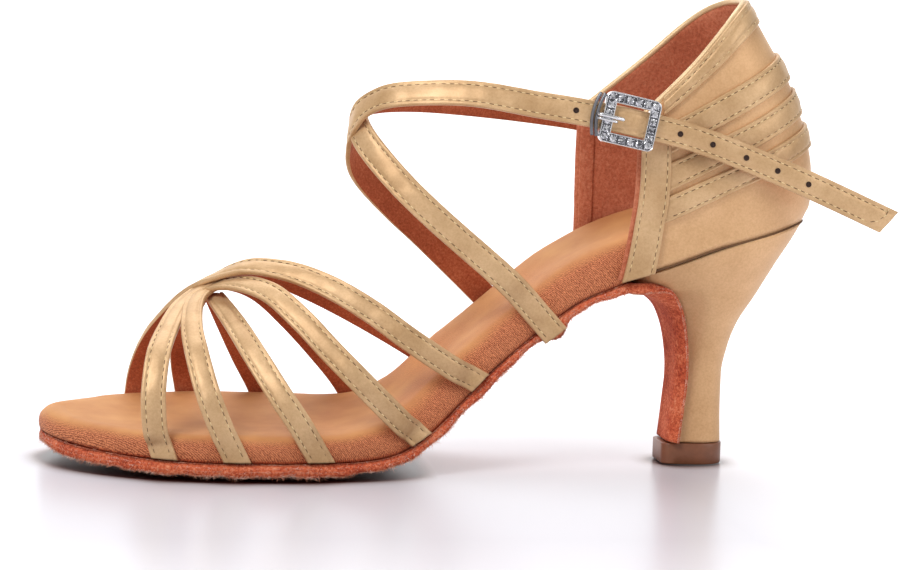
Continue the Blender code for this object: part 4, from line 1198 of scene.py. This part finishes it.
def insole_ring(along, profile):
    """Section of the insole: outer side, top, inner side and underside."""
    lean = clamp(half_width(along, -1) / (HALF_BALL * 0.6), 0, 1)
    sides = []
    for side in (-1, 1):
        ring = []
        for inset, up in profile:
            x, y = edge(along, side, -inset * INSOLE)
            y = side * max(side * y, 0.0)
            ring.append(over_footbed(x, y, up * pad(along, side * lean)))
        sides.append(ring)
    outer, inner = sides
    if along in (0, 1):
        return outer + [outer[-1]] * 21 + list(reversed(inner)) + [outer[0]] * 3
    top = []
    for i in range(1, 22):
        share = i / 22
        dish = DISH * math.sin(math.pi * share) ** 2
        dish = dish * smooth(along, 0.02, 0.1) * smooth(1 - along, 0.01, 0.16)
        top.append(across_footbed(outer[-1], inner[-1], share, pad(along, (2 * share - 1) * lean) - dish))
    bottom = [across_footbed(inner[0], outer[0], share, 0) for share in (0.25, 0.5, 0.75)]
    return outer + top + list(reversed(inner)) + bottom


def make_insole():
    side_inset = (0.14, 0.03, 0.0, 0.05, 0.18, 0.42, 0.80)
    side_up = (0.0, 0.10, 0.38, 0.64, 0.84, 0.96, 1.0)
    steps = 20
    places = [i * 6 / steps for i in range(steps + 1)]
    profile = [(through(side_inset, at), through(side_up, at)) for at in places]
    rings = [insole_ring(along, profile) for along in ends_packed(150)]
    points = []
    for p in (p for ring in rings for p in ring):
        along = along_of(p.x)
        soft = noise.noise(Vector((p.x * 60, p.y * 40, p.z * 60))) * 0.00022
        soft += INNER_LIFT * smooth(p.y, 0.008, 0.025) * smooth(p.z, 0.009, 0.012) * smooth(along, 0.5, 0.62)
        crease = max(0.0, 1 - abs(along - 0.47) / 0.07)
        soft += crease * 0.00025 * noise.noise(Vector((p.x * 520, p.y * 60, p.z * 60)))
        points.append(p + Vector((0, math.copysign(soft, p.y), soft)))
    faces = ring_faces(len(rings), len(rings[0]), capped=False)
    body = object_from("footbed_pad", points, faces, (FOOTBED_SKIN,))
    place(body, "footbed", "insole")


def sole_rows():
    """Places down the sole from the toe to the shank's end, packed at the toe."""
    alongs = [1 - 0.5 * (1 - math.cos(math.pi * 0.5 * i / 14)) * 0.08 for i in range(15)]
    while alongs[-1] > SHANK_END + 0.012:
        alongs.append(alongs[-1] - 0.0055)
    return alongs


def breast_at(place_down):
    return Breast(*[through([row[k] for row in BREAST], place_down) for k in range(5)])


def sole_surface():
    """Upper face of the suede as a grid, and its thickness by rows: the footbed's, then the heel's."""
    half = (0.22, 0.45, 0.6, 0.72, 0.82, 0.9, 0.95, 0.985, 1)
    columns = [-t for t in reversed(half)] + [0, *half]
    shares = [(t + 1) / 2 for t in columns]
    grid, thickness = [], []
    for along in sole_rows():
        welt = read(FOOTBED, "welt", along) * WELT
        (x_out, y_out), (x_in, y_in) = edge(along, -1, welt), edge(along, 1, welt)
        grid.append([over_footbed(mix(x_out, x_in, s), mix(y_out, y_in, s), -GAP) for s in shares])
        thickness.append(OUTSOLE * read(FOOTBED, "sole", along))
    count, last = 72, len(BREAST) - 1
    for i in range(count + 1):
        at = i * last / count
        row = breast_at(at)
        ahead, behind = breast_at(min(at + 0.1, last)), breast_at(max(at - 0.1, 0))
        run = Vector(((ahead.reach - behind.reach) * TIP_LENGTH, 0, (ahead.level - behind.level) * SEAT_RISE))
        back_dir = Vector((-run.z, 0, run.x)).normalized()
        folded = clamp(row.wrap / 0.2, 0, 1)
        line = []
        for t in columns:
            rounded = (1 - (1 - abs(t)) ** 2.2) ** (1 / 2.2)
            y = math.copysign(mix(abs(t), rounded, folded), t) * row.half * SEAT_WIDTH
            flat = Vector((row.reach * TIP_LENGTH, y, row.level * SEAT_RISE))
            line.append(flat + back_dir * row.wrap * TIP_LENGTH * abs(t) ** 4)
        grid.append(line)
        thickness.append(mix(OUTSOLE, BREAST_FLAP, row.thick))
    return grid, thickness


def grid_normals(grid):
    rows, columns = len(grid), len(grid[0])
    normals = []
    for i in range(rows):
        line = []
        for j in range(columns):
            along = grid[min(i + 1, rows - 1)][j] - grid[max(i - 1, 0)][j]
            across = grid[i][min(j + 1, columns - 1)] - grid[i][max(j - 1, 0)]
            line.append(across.cross(along).normalized())
        normals.append(line)
    return normals


def edge_sag(along):
    """How far the suede's outer edge hangs out under the straps' feet."""
    waves = 0.0002 * math.sin(along * 61) + 0.0002 * math.sin(along * 143 + 1)
    return waves + sum(sag.depth * smooth(sag.reach - abs(along - sag.along), 0, sag.reach) for sag in SAGS)


CutEdge = namedtuple("CutEdge", "points out down")
EDGE_LAYERS = (0.0, 0.25, 0.5, 0.75, 1.0)
EDGE_BELLY = (-0.0009, 0.0001, 0.0003, 0.0002, -0.0001)


def cut_edge(top, bottom, inward, down):
    """The suede's cut edge at one end of a row, bellied out a little; inward is the row's next point."""
    out = (top - inward).normalized()
    points = [top.lerp(bottom, t) + out * belly for t, belly in zip(EDGE_LAYERS, EDGE_BELLY)]
    return CutEdge(points, out, down)


def make_outsole():
    """The suede sole. Gives its two cut edges, row by row."""
    grid, thickness = sole_surface()
    alongs = sole_rows()
    normals = grid_normals(grid)
    layers = len(EDGE_LAYERS)
    rings, rim = [], []
    for i, (upper, down) in enumerate(zip(grid, normals)):
        lower = [p + normal * thickness[i] for p, normal in zip(upper, down)]
        if i < len(alongs) and 0.26 < alongs[i] < 0.9:
            for j in range(4):
                lower[j] = lower[j] + down[j] * edge_sag(alongs[i]) * (1 - j / 4)
        near = cut_edge(upper[0], lower[0], upper[1], down[0])
        far = cut_edge(upper[-1], lower[-1], upper[-2], down[-1])
        rings.append(near.points + lower[1:-1] + list(reversed(far.points)) + list(reversed(upper[1:-1])))
        rim.append((near, far))
    far_start = layers + len(grid[0]) - 2
    points = []
    for ring in rings:
        for k, p in enumerate(ring):
            rough = 0.00030 if k < layers or far_start <= k < far_start + layers else 0.00008
            lumps = noise.noise(p * 420) * rough + noise.noise(p * 150) * rough * 0.8
            points.append(p + Vector((0, math.copysign(1, p.y) * lumps, lumps * 0.5 - abs(lumps) * 0.2)))
    sole = object_from("suede_sole", points, ring_faces(len(rings), len(rings[0])), (SUEDE,))
    place(sole, "suede", "outsole")
    return rim


FIBRES_PER_MM = 24
FIBRE_LEVELS = (0, 0.3, 0.6, 0.9, 1.0, 1.0, 1.0)
FIBRE_FACES = ((0, 1, 4, 3), (1, 2, 5, 4), (2, 0, 3, 5), (3, 4, 6), (4, 5, 6), (5, 3, 6))
SHORT_FIBRE_ROWS = 75  # last rows, down the heel's front


def add_fibre(points, faces, root, direction, length, rng):
    """A bent, tapered fibre of three sides that starts in the suede."""
    anywhere = Vector((rng.random(), rng.random(), rng.random()))
    wide = direction.cross(anywhere).normalized() * rng.uniform(0.00004, 0.00009)
    thick = direction.cross(wide).normalized() * wide.length
    n = len(points)
    bend = Vector((rng.uniform(-1, 1), rng.uniform(-1, 1), rng.uniform(-1, 1))) * length * 0.25
    middle = root + direction * length * 0.5 + bend
    foot = root - direction * 0.0002
    points += [foot + wide, foot - wide, foot + thick]
    points += [middle + wide * 0.7, middle - wide * 0.7, middle + thick * 0.7, root + direction * length]
    faces += [tuple(n + k for k in face) for face in FIBRE_FACES]


def make_fuzz(rim):
    """Loose fibres round the suede's cut edge."""
    rng = random.Random(11)
    points, faces = [], []
    for i, (row, next_row) in enumerate(zip(rim, rim[1:])):
        span = (row[0].points[2] - next_row[0].points[2]).length
        short = 0.4 if i > len(rim) - SHORT_FIBRE_ROWS else 1.0
        for here, after in zip(row, next_row):
            for _ in range(int(span * 1000 * FIBRES_PER_MM)):
                t, level = rng.random(), rng.choice(FIBRE_LEVELS)
                k = min(int(level * 4), 3)
                a = here.points[k].lerp(here.points[k + 1], level * 4 - k)
                b = after.points[k].lerp(after.points[k + 1], level * 4 - k)
                root = a.lerp(b, t)
                direction = here.out * rng.uniform(0.2, 1.0) + here.down * rng.uniform(-0.4, 0.9)
                direction += (b - a).normalized() * rng.uniform(-0.9, 0.9)
                direction.normalize()
                length = rng.uniform(0.0003, 0.0013) * short
                length *= 1.6 if level == 1.0 and noise.noise(root * 130) > 0.1 else 1.0
                add_fibre(points, faces, root, direction, length, rng)
    place(object_from("suede_edge_fibres", points, faces, (FUZZ,)), "suede")


def d_outline(back, front, half, front_half, steps=22):
    round_length = min(half * HEEL_BACK_ROUND, (back - front) * 0.62)
    corner = front_half * HEEL_FRONT_CORNER
    one_side = []
    for i in range(steps):
        turn = i / (steps - 1) * math.pi / 2
        x = back - round_length * (1 - math.cos(turn) ** (2 / ROUND_POWER))
        one_side.append((x, half * math.sin(turn) ** (2 / ROUND_POWER)))
    start = back - round_length
    for share in (0.25, 0.5, 0.75, 1.0):
        one_side.append((mix(start, front + corner, share), mix(half, front_half, share)))
    for degrees in range(15, 91, 15):
        turn = math.radians(degrees)
        one_side.append((front + corner * (1 - math.sin(turn)), front_half - corner * (1 - math.cos(turn))))
    return one_side + [(x, -y) for x, y in reversed(one_side[1:])]


Face = namedtuple("Face", "level reach")
HEEL_FACE = sorted(Face(row.level, row.reach) for row in BREAST)


def make_heel():
    bottom = TIP_HEIGHT + GAP
    middle = over_footbed(0, 0, 0).z - GAP
    points, count, size = [], 70, 0
    for i in range(count + 1):
        z = mix(bottom, middle, i / count)
        columns = ("back", "half", "front_half", "tilt")
        back, half, front_half, tilt = (read(HEEL, column, i / count) for column in columns)
        front = read(HEEL_FACE, "reach", z / SEAT_RISE) * TIP_LENGTH + SUEDE_SINK
        outline = d_outline(back * TIP_LENGTH, front, half * TIP_WIDTH, front_half * TIP_WIDTH)
        size = len(outline)
        for x, y in outline:
            seat = over_footbed(x, 0, 0).z - GAP
            points.append(Vector((x, y, z + tilt * (seat - middle))))
    cover = object_from("heel_satin_cover", points, ring_faces(count + 1, size), (HEEL_SATIN,))
    place(cover, "satin", "heel")
    seam = []
    for i in range(121):
        share, side = abs(i / 60 - 1), -1 if i < 60 else 1
        z = cup_floor(share, side)
        seam.append(cup_point(share, side, z + 0.0005) + Vector((0, 0, -0.0006)))
    place(join_meshes("heel_seam_line", [tube(seam, SEAM_RADIUS, 0, 8)], (SEAM_DARK,)), "satin")


def make_heel_tip():
    levels = ((0.0, 0.0005), (0.0001, 0.0002), (0.0004, 0.0))
    levels += ((TIP_HEIGHT - 0.0003, 0.0), (TIP_HEIGHT - 0.0001, 0.00012), (TIP_HEIGHT, 0.0004))
    points, size = [], 0
    for z, inset in levels:
        back = TIP_LENGTH / 2 - inset
        outline = d_outline(back, -back, TIP_WIDTH / 2 - inset, TIP_WIDTH / 2 - TIP_MARGIN - inset)
        size = len(outline)
        points += [Vector((x, y, z)) for x, y in outline]
    tip = object_from("heel_tip_block", points, ring_faces(len(levels), size), (TIP_PLASTIC,))
    tip.data.set_sharp_from_angle(angle=math.radians(35))
    place(tip, "heel_tip", "heel_tip")


# Buckle

RIM_HALF_X = (BUCKLE_LENGTH - BUCKLE_RIM) / 2
RIM_HALF_Y = (BUCKLE_WIDTH - BUCKLE_RIM) / 2
HALF_THICK = BUCKLE_THICKNESS / 2
CORNER = 0.0003
# Section of the frame: a raised lip each side of a groove that holds the stones
LIP = ((-1.0, -1.0), (-1.0, 0.6), (-0.94, 0.9), (-0.84, 1.0), (-0.74, 0.85), (-0.70, 0.3))
RIM_SECTION = LIP + tuple((-a, b) for a, b in reversed(LIP))
STONE_RINGS = ((1.0, 0.1), (1.0, 0.34), (0.58, 0.72))
STONE_RADIUS = 0.00108
STONE_HEIGHT = 0.0011
CLAW_REACH = 0.00115
CLAW_RINGS = ((-0.0004, 0.00022), (0.0001, 0.0002), (0.00028, 0.0001))
BAR_X = -BUCKLE_LENGTH / 2 - GAP - 0.0009
PRONG_REACH = -BUCKLE_LENGTH / 2 + BUCKLE_RIM
PRONG = (
    (BAR_X - 0.0006, 0.0),
    (BAR_X, 0.0012),
    (BAR_X + 0.0008, 0.0017),
    (PRONG_REACH, 0.0017),
    (PRONG_REACH + 0.0030, 0.0012),
)


def make_rim(home):
    path = []
    for cx, cy, start in ((1, 1, 0), (-1, 1, 90), (-1, -1, 180), (1, -1, 270)):
        for k in range(6):
            angle = math.radians(start + k * 18)
            nx, ny = math.cos(angle), math.sin(angle)
            x, y = (RIM_HALF_X - CORNER) * cx + CORNER * nx, (RIM_HALF_Y - CORNER) * cy + CORNER * ny
            path.append((x, y, nx, ny))
    w, size = BUCKLE_RIM / 2, len(RIM_SECTION)
    points, faces, slots = [], [], []
    for x, y, nx, ny in path:
        for a, b in RIM_SECTION:
            reach = 1.12 if a > 0 and nx * ny else 1
            points.append(home @ Vector((x + nx * a * w * reach, y + ny * a * w, b * HALF_THICK)))
    for i in range(len(path)):
        for j in range(size):
            a, b = i * size, (i + 1) % len(path) * size
            faces.append((a + j, a + (j + 1) % size, b + (j + 1) % size, b + j))
            # The groove's floor takes the metal painted dark as shade under the stones.
            slots.append(1 if j == len(LIP) - 1 else 0)
    rim = object_from("buckle_rim", points, faces, (SILVER, PAINTED_SHADE_METAL), slots)
    rim.data.set_sharp_from_angle(angle=math.radians(30))
    place(rim, "metal", "buckle_frame")


def make_stones(home, turn):
    places = []
    for i in range(6):
        x = mix(-RIM_HALF_X, RIM_HALF_X, i / 5)
        places += [(x, RIM_HALF_Y), (x, -RIM_HALF_Y)]
    for i in range(1, 5):
        y = mix(-RIM_HALF_Y, RIM_HALF_Y, i / 5)
        places += [(-RIM_HALF_X, y), (RIM_HALF_X, y)]
    groove = HALF_THICK * 0.3
    stones, claws = [], []
    for number, (x, y) in enumerate(places):
        stone = []
        for level, (share, up) in enumerate(STONE_RINGS):
            r = share * STONE_RADIUS
            for k in range(8):
                angle = math.radians(k * 45 + 22.5 * (level % 2) + number * 17)
                spot = (x + math.cos(angle) * r, y + math.sin(angle) * r, groove + up * STONE_HEIGHT)
                stone.append(home @ Vector(spot))
        stones.append(one_slot(stone, ring_faces(3, 8)))
        for quarter in range(4):
            angle = math.radians(45 + quarter * 90)
            spot = (x + math.cos(angle) * CLAW_REACH, y + math.sin(angle) * CLAW_REACH, groove + 0.0005)
            centre = home @ Vector(spot)
            claw = []
            for level, r in CLAW_RINGS:
                for k in range(6):
                    spin = math.radians(k * 60)
                    claw.append(centre + (turn @ Vector((math.cos(spin) * r, math.sin(spin) * r, level))))
            claws.append(one_slot(claw, ring_faces(3, 6)))
    place(join_meshes("buckle_stones", stones, (STONE,), False), "metal")
    place(join_meshes("buckle_claws", claws, (SILVER,)), "metal")


def make_bars(home, turn):
    """Two curved bars at the frame's toe side, and the prong with its fold beside it."""
    bars = []
    for shift, radius in ((0.0, 0.00055), (-0.0013, 0.0005)):
        arc = []
        for i in range(25):
            share = i / 12 - 1
            x = BAR_X + 0.0006 + shift - 0.0012 * (1 - share**2)
            arc.append(home @ Vector((x, share * BUCKLE_WIDTH * 0.42, 0.0001)))
        bars.append(tube(arc, radius, 0))
    prong = [home @ Vector((x, 0.0, z)) for x, z in PRONG]
    fine = [through(prong, i / 6) for i in range(25)]
    bars.append(tube(fine, 0.00055, 1, 12))
    bars.append(tube([p + (turn @ Vector((0, 0.0011, 0))) for p in fine[:-4]], 0.0004, 1, 12))
    # The two bars take the metal painted dark as shade; the prong is silver.
    place(join_meshes("buckle_bars", bars, (PAINTED_SHADE_METAL, SILVER)), "metal", "buckle_prong")


def make_buckle(s):
    """The buckle on its station of the long strap."""
    across = s.across.normalized()
    if s.face.cross(across).x < 0:
        across = -across
    turn = Matrix((s.face.cross(across), across, s.face)).transposed().to_4x4()
    home = Matrix.Translation(s.middle + s.face * (STRAP_THICKNESS / 2 + GAP + HALF_THICK)) @ turn
    make_rim(home)
    make_stones(home, turn)
    make_bars(home, turn)


make_insole()
make_fuzz(make_outsole())
make_heel()
make_heel_tip()
make_counter()
make_cup_bands()
make_piping()
make_vamp()
make_buckle(make_ankle())


# Floor, light and camera

SHOE_MIDDLE = -0.076
LIGHTS = (
    ("overhead", (-0.12, 0.40, 0.95), (-0.07, 0, 0.05), 0.8, 4.2),
    ("key", (-0.62, -0.62, 0.85), (-0.07, 0, 0.05), 0.5, 6.8),
    ("side", (0.75, -0.55, 0.5), (-0.05, 0, 0.06), 0.5, 2.0),
)
WORLD_STRENGTH = 0.44
CAMERA_TARGET = Vector((SHOE_MIDDLE, -0.008, 0.053))
CAMERA_DISTANCE = 0.8
CAMERA_TURNS = (-9, 6, 2)  # yaw, pitch and roll, in degrees
LENS = 108.8


def add_plane(name, shader, **how):
    bpy.ops.mesh.primitive_plane_add(size=8, **how)
    plane = bpy.context.object
    plane.name = name
    plane.data.materials.append(shader.material)


def make_stage():
    """Pale glossy floor that glows to white away from the shoe, with a painted contact shadow under the shoe,
    and a white backdrop.
    """
    shader = Shader("pale_floor")
    split = shader.nodes.new("ShaderNodeSeparateXYZ")
    shader.links.new(shader.where(), split.inputs["Vector"])
    x, y = split.outputs["X"], split.outputs["Y"]
    off_middle = shader.math("ABSOLUTE", shader.math("ADD", x, 0.035), 0)
    back = shader.rising(y, 0.0, 0.22, 0.6)
    sides = shader.rising(off_middle, 0.10, 0.20, 0.5)
    front = shader.rising(y, -0.12, -0.36, 0.5)
    glow = shader.math("MAXIMUM", shader.math("MAXIMUM", back, sides), front)
    # Painted shadow: where the shoe is close above, the floor's colour darkens to a reddish near-black, as a
    # contact shadow and the sole's dark reflection.
    contact_occlusion = shader.node("AmbientOcclusion", "AO", {"Distance": 0.009})
    painted_shadow_tones = (
        (0.50, (0.03, 0.006, 0.005)),
        (0.64, (0.10, 0.03, 0.025)),
        (0.80, (0.42, 0.37, 0.38)),
        (0.97, (0.64, 0.63, 0.68)),
    )
    shader.finish({
        "Emission Strength": glow,
        "Emission Color": WHITE,
        "Base Color": shader.ramp(contact_occlusion, painted_shadow_tones),
        "Roughness": 0.28,
        "Specular IOR Level": 0.3,
    })
    add_plane("studio_floor", shader, location=(SHOE_MIDDLE, 0, -0.0002))
    shader = Shader("white_backdrop")
    shader.finish({"Emission Color": WHITE, "Emission Strength": 1.0})
    upright = (math.radians(90), 0, 0)
    add_plane("studio_backdrop", shader, location=(SHOE_MIDDLE, 3.9, 3.5), rotation=upright)
    world = bpy.data.worlds.new("studio")
    bpy.context.scene.world = world
    world.use_nodes = True
    background = world.node_tree.nodes["Background"]
    background.inputs["Color"].default_value = (*WHITE, 1)
    background.inputs["Strength"].default_value = WORLD_STRENGTH


def add_light(name, where, target, size, power):
    data = bpy.data.lights.new(name, "AREA")
    data.shape = "DISK"
    data.size = size
    data.energy = power
    lamp = bpy.data.objects.new(name, data)
    bpy.context.scene.collection.objects.link(lamp)
    lamp.location = where
    lamp.rotation_euler = (Vector(target) - Vector(where)).to_track_quat("-Z", "Y").to_euler()


def make_camera():
    yaw, pitch, roll = (math.radians(turn) for turn in CAMERA_TURNS)
    back = Vector((math.sin(yaw) * math.cos(pitch), -math.cos(yaw) * math.cos(pitch), math.sin(pitch)))
    level = (-back).cross(Vector((0, 0, 1))).normalized()
    rising = level.cross(-back)
    right = level * math.cos(roll) + rising * math.sin(roll)
    up = rising * math.cos(roll) - level * math.sin(roll)
    data = bpy.data.cameras.new("photo_camera")
    data.sensor_width = 36
    data.lens = LENS
    camera = bpy.data.objects.new("photo_camera", data)
    bpy.context.scene.collection.objects.link(camera)
    turn = Matrix((right, up, back)).transposed().to_4x4()
    camera.matrix_world = Matrix.Translation(CAMERA_TARGET + back * CAMERA_DISTANCE) @ turn
    bpy.context.scene.camera = camera


make_stage()
for light in LIGHTS:
    add_light(*light)
make_camera()
